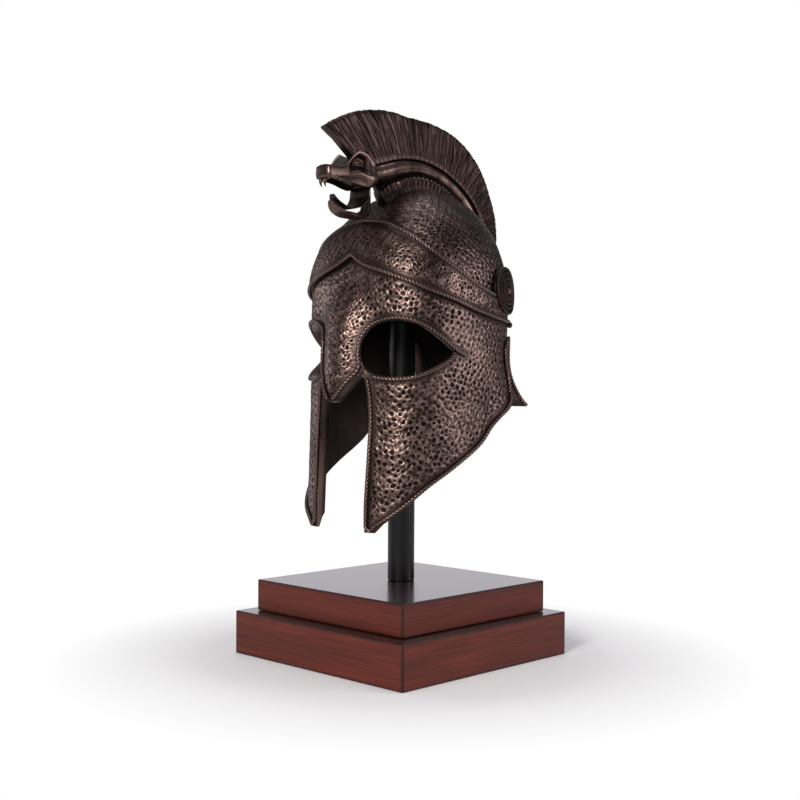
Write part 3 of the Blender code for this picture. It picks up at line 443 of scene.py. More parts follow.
def crest_radius(degrees, x=0.0):
    """Distance from the crest's centre to the skull at an angle in the plane at x."""
    low, high = 0.02, 0.20
    for _ in range(40):
        middle = 0.5 * (low + high)
        y = CREST_CENTRE_Y + middle * math.cos(math.radians(degrees))
        z = CREST_CENTRE_HEIGHT + middle * math.sin(math.radians(degrees))
        if z >= HELMET_HEIGHT * 0.99999:
            high = middle
            continue
        rise = max(0.0, (z / HELMET_HEIGHT - DOME_START) / (1.0 - DOME_START))
        centre = CENTRE_Y + CROWN_SHIFT * rise ** 2
        edge = skin(math.atan2(y - centre, x), z)
        if math.hypot(x, y - centre) < math.hypot(edge[0], edge[1] - centre):
            low = middle
        else:
            high = middle
    return 0.5 * (low + high)


def crest_point(degrees, radius, x=0.0):
    angle = math.radians(degrees)
    y = CREST_CENTRE_Y + radius * math.cos(angle)
    z = CREST_CENTRE_HEIGHT + radius * math.sin(angle)
    return np.array([x, y, z])


# The post's top meets the skull's inner face, which sets how high the helmet stands
def inner_crown_height():
    radius = POST_DIAMETER / 2.0
    low, high = 0.5 * HELMET_HEIGHT, HELMET_HEIGHT * 0.9999
    for _ in range(40):
        middle = 0.5 * (low + high)
        edge = skin(math.radians(-90.0), middle, -WALL)
        if -edge[1] > radius:
            low = middle
        else:
            high = middle
    return 0.5 * (low + high) - CROWN_MARGIN


TIP_Z = BASE_TOP + POST_LENGTH + SEAT_GAP - skin(math.radians(-90.0), inner_crown_height(), -WALL)[2]


def world(points):
    """Helmet heights start at the cheek tips; this lifts them to their place on the stand."""
    return np.asarray(points, float) + np.array([0.0, 0.0, TIP_Z])


def mirrored(points):
    return np.asarray(points, float) * np.array([-1.0, 1.0, 1.0])


# Outlines in the helmet's own frame
def eye_place(rows):
    return np.array(rows, float) * [EYE_LENGTH, EYE_HEIGHT] + [EYE_CENTRE_ACROSS, EYE_CENTRE_HEIGHT]


def side_points(table, step=0.07):
    flat = smooth_path(table, step)
    return np.stack([flat[:, 0] * BACK_REACH, flat[:, 1] * NOTCH_APEX_HEIGHT], axis=-1)


def neck_edge_points(step=0.07):
    """The front edge of the neck guard, which hangs between the guard's rim and the notch."""
    rise = 1.0 - NECK_RIM_HEIGHT / NOTCH_APEX_HEIGHT
    table = [(along, 1.0 + (up - 1.0) * rise) for along, up in NECK_FRONT_EDGE]
    return side_points(table, step)


# Brow band and its ropes
def band_line(table, degrees):
    """Height of a line of the band at an angle from +X, the same on both sides of the face."""
    folded = -90.0 + np.abs(np.asarray(degrees, float) + 90.0)
    return smooth_table(table, 1, folded) * HELMET_HEIGHT


def rosette_centre():
    return skin(ROSETTE_ANGLE, ROSETTE_HEIGHT)


def last_angle(height_at, clear, furthest):
    """The angle at which a line on the skin comes within a distance of the rosette's centre."""
    centre = rosette_centre()
    for degrees in np.arange(-20.0, furthest, 0.25):
        if np.linalg.norm(skin(math.radians(degrees), height_at(degrees)) - centre) < clear:
            return degrees
    return furthest


def band_row(degrees, share, inset):
    """Height of a row of the band, the outer rows held off the ropes' lines along the skin."""
    low = float(band_line(BAND_LOWER_LINE, degrees))
    high = float(band_line(BAND_UPPER_LINE, degrees))
    step = 1e-4
    angle = math.radians(degrees)
    low += inset * step / np.linalg.norm(skin(angle, low + step) - skin(angle, low)) * 1.12
    high -= inset * step / np.linalg.norm(skin(angle, high) - skin(angle, high - step)) * 1.16
    return low + (high - low) * share


# Rope borders of the eyes, cheeks and neck guard, found on the left and mirrored
ROPE_LIFT = ROPE_SEAT + ROPE_RADIUS


def spaced(points):
    return smooth_path(points, 0.0014)


def on_front(flat):
    return skin_across(math.radians(-90.0), flat[:, 0], flat[:, 1], ROPE_LIFT)


def on_side(flat):
    return skin_across(0.0, flat[:, 0], flat[:, 1], ROPE_LIFT)


def on_eye(flat):
    return skin_across(EYE_AXIS, flat[:, 0], flat[:, 1], ROPE_LIFT)


def trim_near(points, others, clear=2.0 * ROPE_RADIUS + 0.0005):
    """Leaves out the points of a path that come too near another path."""
    points, others = np.array(points), np.array(others)
    near = np.linalg.norm(points[:, None] - others[None], axis=2).min(axis=1)
    return points[near > clear]


def eye_flat(rows):
    return spaced(eye_place(rows))


def upper_eye_border():
    """From the nasal's tip up its edge, round the eye's inner side and top to the tail behind it."""
    size = np.array([FACE_GAP_HALF_WIDTH, FACE_GAP_TOP_HEIGHT])
    nasal = spaced(np.array(FACE_GAP_EDGE[:NASAL_ROWS] + NASAL_TOP) * size)
    nasal = nasal[nasal[:, 0] > ROPE_RADIUS + 0.0003]
    eye = eye_flat(EYE_OUTLINE[EYE_UPPER_FROM:] + EYE_TAIL)
    return np.concatenate([on_front(nasal), on_eye(eye)])


def lower_eye_border(upper):
    eye = eye_flat((EYE_OUTLINE[:EYE_LOWER_ROWS] + (EYE_LOWER_START,))[::-1])
    return trim_near(on_eye(eye), upper)


def cheek_border(lower_eye):
    """From under the eye down the front edge, round the tip, up the lower and back edges to the ear notch."""
    size = np.array([FACE_GAP_HALF_WIDTH, FACE_GAP_TOP_HEIGHT])
    front = spaced(np.array(FACE_GAP_EDGE[5:]) * size)
    turn = 2.0 * ROPE_RADIUS
    side = side_points(CHEEK_LOWER_EDGE + CHEEK_BACK_EDGE[:-1], 0.013)
    side = on_side(side[side[:, 1] > turn])
    front = on_front(front[front[:, 1] > turn])
    tip = 0.5 * (front[-1] + side[0]) - np.array([0.0, 0.0, 1.05 * turn])
    corner = smooth_path([front[-2], front[-1], tip, side[0], side[1]], 0.0014)
    return trim_near(np.concatenate([front[:-2], corner, side[2:]]), lower_eye)


def neck_border(cheek):
    side = trim_near(on_side(neck_edge_points(0.013)), cheek)
    degrees = np.arange(RIM_ROPE_FROM, 90.1, 1.0)
    rim = skin(np.radians(degrees), np.full(len(degrees), NECK_RIM_HEIGHT + ROPE_INSET), ROPE_LIFT)
    half = np.concatenate([side[:-1], spaced([side[-1], rim[0]]), rim[1:]])
    return np.concatenate([half, mirrored(half[:-1])[::-1]])


def rosette_point(across, up, lift):
    centre = rosette_centre()
    right = np.array([-math.sin(ROSETTE_ANGLE), math.cos(ROSETTE_ANGLE)])
    return skin_across(ROSETTE_ANGLE, centre[:2] @ right + across, ROSETTE_HEIGHT + up, lift)


# Crest, in polar stations of the middle plane
def serpent_radius(degrees):
    return float(smooth_table(SERPENT_LINE, 2, degrees)) * NECK_RADIUS


def ledge_rise(degrees):
    return smooth_table(SERPENT_LINE, 3, degrees) * RIDGE_RISE


def ledge_half_width(degrees):
    """The ledge keeps its width up to its front, where it narrows to the web's foot."""
    share = np.clip((degrees - LEDGE_FRONT) / LEDGE_TAPER, 0.0, 1.0)
    return RIDGE_HALF_WIDTH + (1.5 * WEB_HALF_WIDTH - RIDGE_HALF_WIDTH) * share


def serpent_centre(degrees):
    rise = float(smooth_table(SERPENT_LINE, 1, degrees)) * NECK_RISE
    least = float(ledge_rise(degrees)) + serpent_radius(degrees) + 3.0 * SEAT_GAP
    return crest_radius(degrees) + max(rise, least)


def strip_bottom(degrees):
    return serpent_centre(degrees) + serpent_radius(degrees) + SEAT_GAP


# Serpent's head. Its back meets the neck, and the chin line hangs below the neck's middle.
NECK_END = crest_point(RIDGE_FRONT, serpent_centre(RIDGE_FRONT))
HEAD_BACK_Y = NECK_END[1] - HEAD_BACK_SHARE * HEAD_LENGTH
CHIN_HEIGHT = NECK_END[2] - HEAD_DROP * HEAD_HEIGHT


def head_place(along, up, x=0.0):
    return np.array([x, HEAD_BACK_Y - (1.0 - along) * HEAD_LENGTH, CHIN_HEIGHT + up * HEAD_HEIGHT])


def head_row(along, column):
    return float(smooth_table(HEAD_SECTIONS, column, along))


def head_clear_radius(degrees):
    """The least distance from the crest's centre at which the plume stays over the serpent's head."""
    radius = np.linspace(0.6, 1.0, 300) * CREST_RADIUS
    y = CREST_CENTRE_Y + radius * math.cos(math.radians(degrees))
    z = CREST_CENTRE_HEIGHT + radius * math.sin(math.radians(degrees))
    along = 1.0 - (HEAD_BACK_Y - y) / HEAD_LENGTH
    brow, crown = smooth_table(HEAD_SECTIONS, 3, along), smooth_table(HEAD_SECTIONS, 4, along)
    top = np.maximum(crown, crown + 0.2 * (brow - crown))
    inside = (along > 0.0) & (along < 1.0) & (z < CHIN_HEIGHT + top * HEAD_HEIGHT + 2.0 * SEAT_GAP)
    return float(radius[inside].max()) if inside.any() else 0.0


def plate_frames(table, steps):
    """Places along a line in the middle plane with the direction into the mouth and the other columns."""
    rows = np.array(table, float)
    ends = np.arange(len(rows), dtype=float)
    keyed = np.column_stack([ends, rows])
    out = []
    for at in np.linspace(0.0, ends[-1], steps):
        values = [float(smooth_table(keyed, k + 1, at)) for k in range(rows.shape[1])]
        before = [float(smooth_table(keyed, k + 1, max(at - 0.05, 0.0))) for k in (0, 1)]
        after = [float(smooth_table(keyed, k + 1, min(at + 0.05, ends[-1]))) for k in (0, 1)]
        way = head_place(*after) - head_place(*before)
        way /= np.linalg.norm(way)
        inward = np.array([0.0, -way[2], way[1]])
        out.append((head_place(values[0], values[1]), inward, values[2:]))
    return out


def under_head(table, thickness):
    """A plate's line with its last row raised to just under the head."""
    along = table[-1][0]
    reach = thickness / HEAD_LENGTH
    ceiling = min(head_row(np.clip(along + k * reach, 0.0, 1.0), 2) for k in (-1.0, 0.0, 1.0))
    top = ceiling - (1.3 * SEAT_GAP + 0.1 * thickness) / HEAD_HEIGHT
    return table[:-1] + ((along, top) + tuple(table[-1][2:]),)


# Mesh helpers
STRAND_RADIUS = ROPE_RADIUS * 1.06
ROPE_PITCH = 0.0112
ROPE_SINK = 0.0009


def add_mesh(name, node, material, verts, faces, wear_and_painted_light, sharp=None):
    """A piece that stands for a node, from arrays: triangles or quads, and a value per vertex for wear
    together with painted shade and highlight.
    """
    verts = np.ascontiguousarray(verts, np.float32)
    faces = np.ascontiguousarray(faces, np.int32)
    mesh = bpy.data.meshes.new(name)
    mesh.vertices.add(len(verts))
    mesh.vertices.foreach_set("co", verts.ravel())
    side = faces.shape[1]
    mesh.loops.add(faces.size)
    mesh.loops.foreach_set("vertex_index", faces.ravel())
    mesh.polygons.add(len(faces))
    mesh.polygons.foreach_set("loop_start", np.arange(len(faces), dtype=np.int32) * side)
    mesh.update(calc_edges=True)
    mesh.validate()
    mesh.shade_smooth()
    if sharp:
        mesh.set_sharp_from_angle(angle=math.radians(sharp))
    layer = mesh.attributes.new("wear_and_painted_light", "FLOAT", "POINT")
    layer.data.foreach_set("value", np.ascontiguousarray(wear_and_painted_light, np.float32))
    obj = bpy.data.objects.new(name, mesh)
    bpy.context.scene.collection.objects.link(obj)
    mesh.materials.append(material)
    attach(obj, "root")
    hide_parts(node)


def grid_faces(rows, columns, wrap=False):
    """Quads of a grid whose rings are its rows; wrap joins the last column to the first."""
    last = columns if wrap else columns - 1
    i, j = np.meshgrid(np.arange(rows - 1), np.arange(last), indexing="ij")
    k = (j + 1) % columns
    here, above = i * columns, (i + 1) * columns
    return np.stack([here + j, here + k, above + k, above + j], -1).reshape(-1, 4)


def capped(rings, centres=None):
    """Rings to vertices and faces that look outward, with a fan at each end round its centre."""
    rings = np.array(rings, float)
    rows, columns = rings.shape[:2]
    ends = np.array([rings[0].mean(0), rings[-1].mean(0)]) if centres is None else np.array(centres)
    verts = np.concatenate([rings.reshape(-1, 3), ends])
    quads = grid_faces(rows, columns, True)
    tris = np.concatenate([quads[:, [0, 1, 2]], quads[:, [0, 2, 3]]])
    j = np.arange(columns)
    k = (j + 1) % columns
    first = np.stack([k, j, np.full(columns, rows * columns)], -1)
    base = (rows - 1) * columns
    last = np.stack([base + j, base + k, np.full(columns, rows * columns + 1)], -1)
    return verts, outward(verts, np.concatenate([tris, first, last]))


def with_ends(wear_and_painted_light):
    """Values of wear and painted shade of a capped mesh, with a value for the middle of each end."""
    return np.concatenate([np.ravel(wear_and_painted_light), [0.0, 0.0]])


def outward(verts, tris):
    """Turns triangles so that the closed mesh faces out."""
    a, b, c = verts[tris[:, 0]], verts[tris[:, 1]], verts[tris[:, 2]]
    return tris if np.einsum("ij,ij->i", a, np.cross(b, c)).sum() > 0.0 else tris[:, ::-1]


def corners(*columns):
    """Rows of vertex numbers from their columns."""
    return np.stack(columns, 1)


def refine(verts, tris, kind, limits):
    """Splits edges longer than the limit of their kind of face until none is left."""
    while True:
        edge = corners(tris[:, [0, 1]], tris[:, [1, 2]], tris[:, [2, 0]])
        edge.sort(axis=2)
        key = edge[..., 0].astype(np.int64) * len(verts) + edge[..., 1]
        unique, back = np.unique(key.ravel(), return_inverse=True)
        back = back.reshape(-1, 3)
        a, b = unique // len(verts), unique % len(verts)
        length = np.linalg.norm(verts[a] - verts[b], axis=1)
        allowed = np.full(len(unique), 9.0)
        np.minimum.at(allowed, back.ravel(), np.repeat(limits[kind], 3))
        long = length > allowed
        if not long.any():
            return verts, tris, kind
        new = np.full(len(unique), -1)
        new[long] = len(verts) + np.arange(long.sum())
        verts = np.concatenate([verts, 0.5 * (verts[a[long]] + verts[b[long]])])
        mid = new[back]
        count = (mid >= 0).sum(1)
        out, kinds = [tris[count == 0]], [kind[count == 0]]
        for turn in range(3):
            order = [(turn + s) % 3 for s in range(3)]
            t, m = tris[:, order], mid[:, order]
            one = (count == 1) & (m[:, 0] >= 0)
            out += [corners(t[one, 0], m[one, 0], t[one, 2]), corners(m[one, 0], t[one, 1], t[one, 2])]
            kinds += [kind[one]] * 2
            two = (count == 2) & (m[:, 2] < 0)
            out += [corners(t[two, 0], m[two, 0], t[two, 2]), corners(m[two, 0], m[two, 1], t[two, 2]),
                    corners(m[two, 0], t[two, 1], m[two, 1])]
            kinds += [kind[two]] * 3
        all3 = count == 3
        t, m = tris[all3], mid[all3]
        out += [corners(t[:, 0], m[:, 0], m[:, 2]), corners(m[:, 0], t[:, 1], m[:, 1]),
                corners(m[:, 2], m[:, 1], t[:, 2]), corners(m[:, 0], m[:, 1], m[:, 2])]
        kinds += [kind[all3]] * 4
        tris, kind = np.concatenate(out), np.concatenate(kinds)


def wave_noise(points, size, seed, octaves=3):
    """Smooth seeded noise from crossed sine waves, about -1 to 1."""
    rng = np.random.default_rng(seed)
    total = np.zeros(len(points))
    for octave in range(octaves):
        for _ in range(5):
            way = rng.normal(size=3)
            way *= 2.0 * math.pi * 2.0 ** octave / (size * np.linalg.norm(way))
            total += np.sin(points @ way + rng.uniform(0.0, 6.28)) * 0.5 ** octave / 2.2
    return total


# Hammered relief: pits with raised rims, placed at seeded points on the skin
def scatter(points, spacing, seed):
    """Picks points that keep their own spacing from one another."""
    order = np.random.default_rng(seed).permutation(len(points))
    cell = float(spacing.max())
    keys = np.floor(points / cell).astype(int)
    grid = {}
    kept = []
    near = [(i, j, k) for i in (-1, 0, 1) for j in (-1, 0, 1) for k in (-1, 0, 1)]
    plain = points.tolist()
    apart = spacing.tolist()
    cells = keys.tolist()
    for n in order.tolist():
        x, y, z = plain[n]
        ci, cj, ck = cells[n]
        reach = apart[n] ** 2
        free = True
        for i, j, k in near:
            for m in grid.get((ci + i, cj + j, ck + k), ()):
                p = plain[m]
                if (p[0] - x) ** 2 + (p[1] - y) ** 2 + (p[2] - z) ** 2 < reach:
                    free = False
                    break
            if not free:
                break
        if free:
            grid.setdefault((ci, cj, ck), []).append(n)
            kept.append(n)
    return np.array(kept)


def tree_of(points):
    tree = KDTree(len(points))
    for n, p in enumerate(points.tolist()):
        tree.insert(p, n)
    tree.balance()
    return tree


def nearest(tree, points):
    found = [tree.find(p) for p in points.tolist()]
    return np.array([f[1] for f in found]), np.array([f[2] for f in found])


def hammered(points, spacing, depth, calm, seed):
    """Lift along the normal and a wear value for each point. calm is 1 where the surface stays plain."""
    kept = scatter(points, spacing, seed)
    rng = np.random.default_rng(seed + 1)
    size = spacing[kept] * rng.uniform(0.34, 0.52, len(kept))
    deep = rng.uniform(0.40, 1.0, len(kept))
    bent = points + 0.00042 * np.stack([wave_noise(points, 0.0052, seed + k, 1) for k in (3, 4, 5)], -1)
    index, gap = nearest(tree_of(points[kept]), bent)
    share = gap / size[index]
    patch = np.clip(0.92 + 0.60 * wave_noise(points, 0.034, seed + 6, 2), 0.30, 1.25)
    pit = np.clip(1.0 - share ** 2, 0.0, 1.0) * deep[index] * patch
    rim = np.exp(-((share - 1.28) / 0.34) ** 2)
    rough = wave_noise(points, 0.006, seed + 2, 2)
    live = 1.0 - calm
    lift = depth * live * (0.42 * rim - pit + 0.22 * rough)
    wear_and_painted_light = live * (0.95 * rim - 2.3 * pit + 0.45 * rough) - 0.35 * calm
    return lift, wear_and_painted_light


# Rope borders: three strands laid round one another
def frames_along(path):
    """Unit direction, side and up vectors carried along a path without twist."""
    ahead = np.gradient(path, axis=0)
    ahead /= np.linalg.norm(ahead, axis=1, keepdims=True)
    side = np.cross(ahead[0], [0.3, 0.5, 0.81])
    side /= np.linalg.norm(side)
    sides = [side]
    for way in ahead[1:]:
        side = side - way * (side @ way)
        side /= np.linalg.norm(side)
        sides.append(side)
    sides = np.array(sides)
    return ahead, sides, np.cross(ahead, sides)


def even_path(points, step, closed=False):
    points = np.asarray(points, float)
    if closed:
        points = np.concatenate([points, points[:1]])
    along = np.concatenate([[0.0], np.cumsum(np.linalg.norm(np.diff(points, axis=0), axis=1))])
    at = np.linspace(0.0, along[-1], max(4, int(along[-1] / step)))
    return np.stack([np.interp(at, along, points[:, k]) for k in range(3)], -1), at


def rings_round(path, radii, angles):
    """A ring of points round each point of a path, with the radii per point and angle."""
    _, side, up = frames_along(path)
    rings = path[:, None] + side[:, None] * (radii * np.cos(angles))[..., None]
    return rings + up[:, None] * (radii * np.sin(angles))[..., None]


def rope_mesh(points, radius, pitch, closed=False, turns=15, step=0.00062, hand=1.0):
    path, at = even_path(points, step, closed)
    for _ in range(4):
        path[1:-1] = 0.25 * path[:-2] + 0.5 * path[1:-1] + 0.25 * path[2:]
    angles = np.linspace(0.0, 2.0 * math.pi, turns, endpoint=False)
    phase = angles[None] - hand * 2.0 * math.pi * at[:, None] / pitch
    swell = np.abs(np.cos(1.5 * phase)) ** 0.7
    r = radius * (0.76 + 0.24 * swell)
    if not closed:
        ends = np.minimum(at, at[-1] - at)[:, None]
        r = r * np.sqrt(np.clip(ends / radius + 0.05, 0.0, 1.0))
    return *capped(rings_round(path, r, angles)), with_ends(swell * 1.9 - 1.15)


def merge(meshes):
    verts, tris, wear_and_painted_light_lists, start = [], [], [], 0
    for v, t, w in meshes:
        verts.append(v)
        tris.append(t + start)
        wear_and_painted_light_lists.append(w)
        start += len(v)
    return np.concatenate(verts), np.concatenate(tris), np.concatenate(wear_and_painted_light_lists)


# Materials
def ramp(tree, source, stops):
    made = tree.nodes.new("ShaderNodeValToRGB")
    marks = made.color_ramp.elements
    while len(marks) < len(stops):
        marks.new(0.5)
    for mark, (place, colour) in zip(marks, stops):
        mark.position = place
        mark.color = (*colour, 1.0) if len(colour) == 3 else colour
    tree.links.new(source, made.inputs[0])
    return made.outputs[0]


def noise(tree, scale, detail=4.0, stretch=None, space="Object"):
    place = tree.nodes.new("ShaderNodeTexCoord").outputs[space]
    if stretch:
        mapping = tree.nodes.new("ShaderNodeMapping")
        mapping.inputs["Scale"].default_value = stretch
        tree.links.new(place, mapping.inputs["Vector"])
        place = mapping.outputs[0]
    made = tree.nodes.new("ShaderNodeTexNoise")
    made.inputs["Scale"].default_value = scale
    made.inputs["Detail"].default_value = detail
    tree.links.new(place, made.inputs["Vector"])
    return made.outputs["Fac"]


def maths(tree, kind, a, b=None, clamp=False):
    made = tree.nodes.new("ShaderNodeMath")
    made.operation = kind
    made.use_clamp = clamp
    for k, value in enumerate((a, b)):
        if value is None:
            continue
        if isinstance(value, (int, float)):
            made.inputs[k].default_value = value
        else:
            tree.links.new(value, made.inputs[k])
    return made.outputs[0]


def bump(tree, height, strength, distance):
    made = tree.nodes.new("ShaderNodeBump")
    made.inputs["Strength"].default_value = strength
    made.inputs["Distance"].default_value = distance
    tree.links.new(height, made.inputs["Height"])
    return made.outputs[0]


def principled(name):
    material = bpy.data.materials.new(name)
    material.use_nodes = True
    return material, material.node_tree, material.node_tree.nodes["Principled BSDF"]


WEAR_AND_PAINTED_LIGHT_SHARE = 0.34


def bronze(name, rough, grain, patch, dark, middle, bright):
    """Patinated bronze: dark in the pits, rubbed bright on the rims, clouded over larger areas, and darkened
    by painted shade and lightened by painted highlight where the per-vertex value carries them.
    """
    material, tree, shader = principled(name)
    wear_and_painted_light = tree.nodes.new("ShaderNodeAttribute")
    wear_and_painted_light.attribute_name = "wear_and_painted_light"
    value = maths(tree, "MULTIPLY", wear_and_painted_light.outputs["Fac"], WEAR_AND_PAINTED_LIGHT_SHARE)
    cloud = maths(tree, "SUBTRACT", noise(tree, 30.0, 4.0), 0.5)
    fine = maths(tree, "SUBTRACT", noise(tree, 900.0, 3.0), 0.5)
    value = maths(tree, "ADD", value, maths(tree, "MULTIPLY", cloud, patch))
    value = maths(tree, "ADD", value, maths(tree, "MULTIPLY", fine, 0.30))
    value = maths(tree, "ADD", value, 0.5, clamp=True)
    colour = ramp(tree, value, ((0.08, dark), (0.50, middle), (0.92, bright)))
    tree.links.new(colour, shader.inputs["Base Color"])
    shade = maths(tree, "MULTIPLY", value, -0.16)
    tree.links.new(maths(tree, "ADD", shade, rough + 0.08, clamp=True), shader.inputs["Roughness"])
    shader.inputs["Metallic"].default_value = 0.92
    shader.inputs["Specular IOR Level"].default_value = 0.4
    tree.links.new(bump(tree, noise(tree, 700.0, 4.0), grain, 0.0006), shader.inputs["Normal"])
    return material


def black_paint():
    material, tree, shader = principled("black_paint")
    stops = ((0.3, (0.0035, 0.0030, 0.0030)), (0.7, (0.0075, 0.0065, 0.0065)))
    tree.links.new(ramp(tree, noise(tree, 60.0), stops), shader.inputs["Base Color"])
    shader.inputs["Specular IOR Level"].default_value = 0.30
    gloss = maths(tree, "ADD", maths(tree, "MULTIPLY", noise(tree, 300.0), 0.12), 0.24)
    tree.links.new(gloss, shader.inputs["Roughness"])
    tree.links.new(bump(tree, noise(tree, 1200.0), 0.05, 0.0002), shader.inputs["Normal"])
    return material


def mahogany(name, half, low, high):
    """Varnished red-brown wood with fine long grain and darker arrises."""
    material, tree, shader = principled(name)
    place = tree.nodes.new("ShaderNodeTexCoord").outputs["Object"]
    parts = tree.nodes.new("ShaderNodeSeparateXYZ")
    tree.links.new(place, parts.inputs[0])
    grain_x = noise(tree, 1.0, 8.0, (14.0, 260.0, 900.0))
    grain_y = noise(tree, 1.0, 8.0, (260.0, 14.0, 900.0))
    geometry = tree.nodes.new("ShaderNodeNewGeometry")
    facing = tree.nodes.new("ShaderNodeSeparateXYZ")
    tree.links.new(geometry.outputs["Normal"], facing.inputs[0])
    turned = maths(tree, "GREATER_THAN", maths(tree, "ABSOLUTE", facing.outputs["X"]), 0.6)
    mix = tree.nodes.new("ShaderNodeMix")
    tree.links.new(turned, mix.inputs[0])
    tree.links.new(grain_x, mix.inputs[2])
    tree.links.new(grain_y, mix.inputs[3])
    grain = mix.outputs[0]
    broad = noise(tree, 1.0, 3.0, (5.0, 5.0, 60.0))
    value = maths(tree, "ADD", maths(tree, "MULTIPLY", grain, 0.62), maths(tree, "MULTIPLY", broad, 0.38))
    colour = ramp(tree, value, ((0.30, (0.044, 0.0060, 0.0026)), (0.50, (0.108, 0.0140, 0.0050)),
                                (0.68, (0.185, 0.0270, 0.0085))))
    edges = []
    middle, rise = 0.5 * (low + high), 0.5 * (high - low)
    for axis, centre, reach in (("X", 0.0, half), ("Y", 0.0, half), ("Z", middle, rise)):
        away = maths(tree, "ABSOLUTE", maths(tree, "SUBTRACT", parts.outputs[axis], centre))
        edges.append(maths(tree, "SUBTRACT", reach, away))
    first = maths(tree, "MINIMUM", edges[0], edges[1])
    second = maths(tree, "MAXIMUM", edges[0], edges[1])
    spread = maths(tree, "MAXIMUM", maths(tree, "MINIMUM", second, edges[2]), first)
    wander = maths(tree, "MULTIPLY", maths(tree, "SUBTRACT", noise(tree, 90.0), 0.5), 0.0022)
    # The colour darkens towards the arrises over a few millimetres.
    away_from_arris = maths(tree, "MULTIPLY", maths(tree, "ADD", spread, wander), 240.0, clamp=True)
    edge = ramp(tree, away_from_arris, ((0.10, (0.0, 0.0, 0.0)), (0.75, (1.0, 1.0, 1.0))))
    dark = tree.nodes.new("ShaderNodeMix")
    dark.data_type = "RGBA"
    tree.links.new(edge, dark.inputs["Factor"])
    dark.inputs["A"].default_value = (0.020, 0.0055, 0.0045, 1.0)
    # Painted shade: faces that look up are given a darker colour than the sides.
    level = tree.nodes.new("ShaderNodeMix")
    level.data_type = "RGBA"
    tree.links.new(maths(tree, "GREATER_THAN", facing.outputs["Z"], 0.6), level.inputs["Factor"])
    tree.links.new(colour, level.inputs["A"])
    level.inputs["B"].default_value = (0.030, 0.0120, 0.0100, 1.0)
    tree.links.new(level.outputs["Result"], dark.inputs["B"])
    tree.links.new(dark.outputs["Result"], shader.inputs["Base Color"])
    shader.inputs["Roughness"].default_value = 0.42
    shader.inputs["Specular IOR Level"].default_value = 0.25
    coat = maths(tree, "MULTIPLY", maths(tree, "GREATER_THAN", facing.outputs["Z"], 0.6), 0.85)
    tree.links.new(maths(tree, "ADD", coat, 0.10), shader.inputs["Coat Weight"])
    shader.inputs["Coat Roughness"].default_value = 0.16
    tree.links.new(bump(tree, grain, 0.10, 0.0004), shader.inputs["Normal"])
    return material


# Slot, roughness, grain and patchiness of each bronze, and its colour in the pits, between and on the rims
BRONZES = {
    "hammered_bronze": ("hammered_bronze", 0.38, 0.20, 0.75,
                        (0.010, 0.0064, 0.0058), (0.062, 0.040, 0.034), (0.28, 0.190, 0.160)),
    "plain_bronze": ("hammered_bronze", 0.36, 0.06, 0.30,
                     (0.016, 0.010, 0.009), (0.070, 0.044, 0.038), (0.18, 0.120, 0.102)),
    "chased_bronze": ("chased_bronze", 0.40, 0.12, 0.40,
                      (0.006, 0.0040, 0.0036), (0.050, 0.032, 0.028), (0.19, 0.128, 0.108)),
    "rope_bronze": ("polished_bronze", 0.31, 0.08, 0.35,
                    (0.010, 0.0062, 0.0055), (0.066, 0.042, 0.035), (0.30, 0.205, 0.17)),
    "polished_bronze": ("polished_bronze", 0.26, 0.04, 0.40,
                        (0.018, 0.0115, 0.010), (0.095, 0.061, 0.050), (0.24, 0.160, 0.132)),
}
MADE = {name: bronze(name, *row[1:]) for name, row in BRONZES.items()}
HAMMERED, PLAIN, CHASED, ROPE, POLISHED = MADE.values()


# Helmet shell
def skin_angles(points, rounds=7):
    """The angle on the skin under each point, at the point's own height."""
    height = np.clip(points[:, 2] - TIP_Z, -0.02, HELMET_HEIGHT * 0.99995)
    angle = np.arctan2(points[:, 1] - CENTRE_Y, points[:, 0])
    for _ in range(rounds):
        here = skin(angle, height)
        step = 1e-3
        way = (skin(angle + step, height) - here)[:, :2] / step
        off = points[:, :2] - here[:, :2]
        angle = angle + np.clip((off * way).sum(1) / np.maximum((way * way).sum(1), 1e-9), -0.2, 0.2)
    return angle, height


def skin_normals(angle, height):
    step = 1e-4
    around = skin(angle + step * 10.0, height) - skin(angle - step * 10.0, height)
    up = skin(angle, np.minimum(height + step, HELMET_HEIGHT * 0.99999)) - skin(angle, height - step)
    normal = np.cross(around, up)
    return normal / np.maximum(np.linalg.norm(normal, axis=1, keepdims=True), 1e-12)


def border_paths():
    upper = upper_eye_border()
    lower = lower_eye_border(upper)
    cheek = cheek_border(lower)
    return upper, lower, cheek, neck_border(cheek)


def pit_spacing(points):
    """Coarser pits on the cheeks and temples, finer on the dome and the nasal."""
    height = points[:, 2] - TIP_Z
    dome = np.clip((height - 0.245) / 0.05, 0.0, 1.0)
    brow = np.clip(1.0 - np.abs(points[:, 0]) / 0.040, 0.0, 1.0) * (points[:, 1] < 0.0)
    brow = brow * np.clip((height - 0.12) / 0.03, 0.0, 1.0)
    return 0.0048 - 0.0018 * dome - 0.0016 * np.clip(brow * 1.6, 0.0, 1.0) * (1.0 - dome)


def own_verts(tris):
    """The vertices that some triangles use, and the triangles numbered by them."""
    used, index = np.unique(tris.ravel(), return_inverse=True)
    return used, index.reshape(-1, 3)


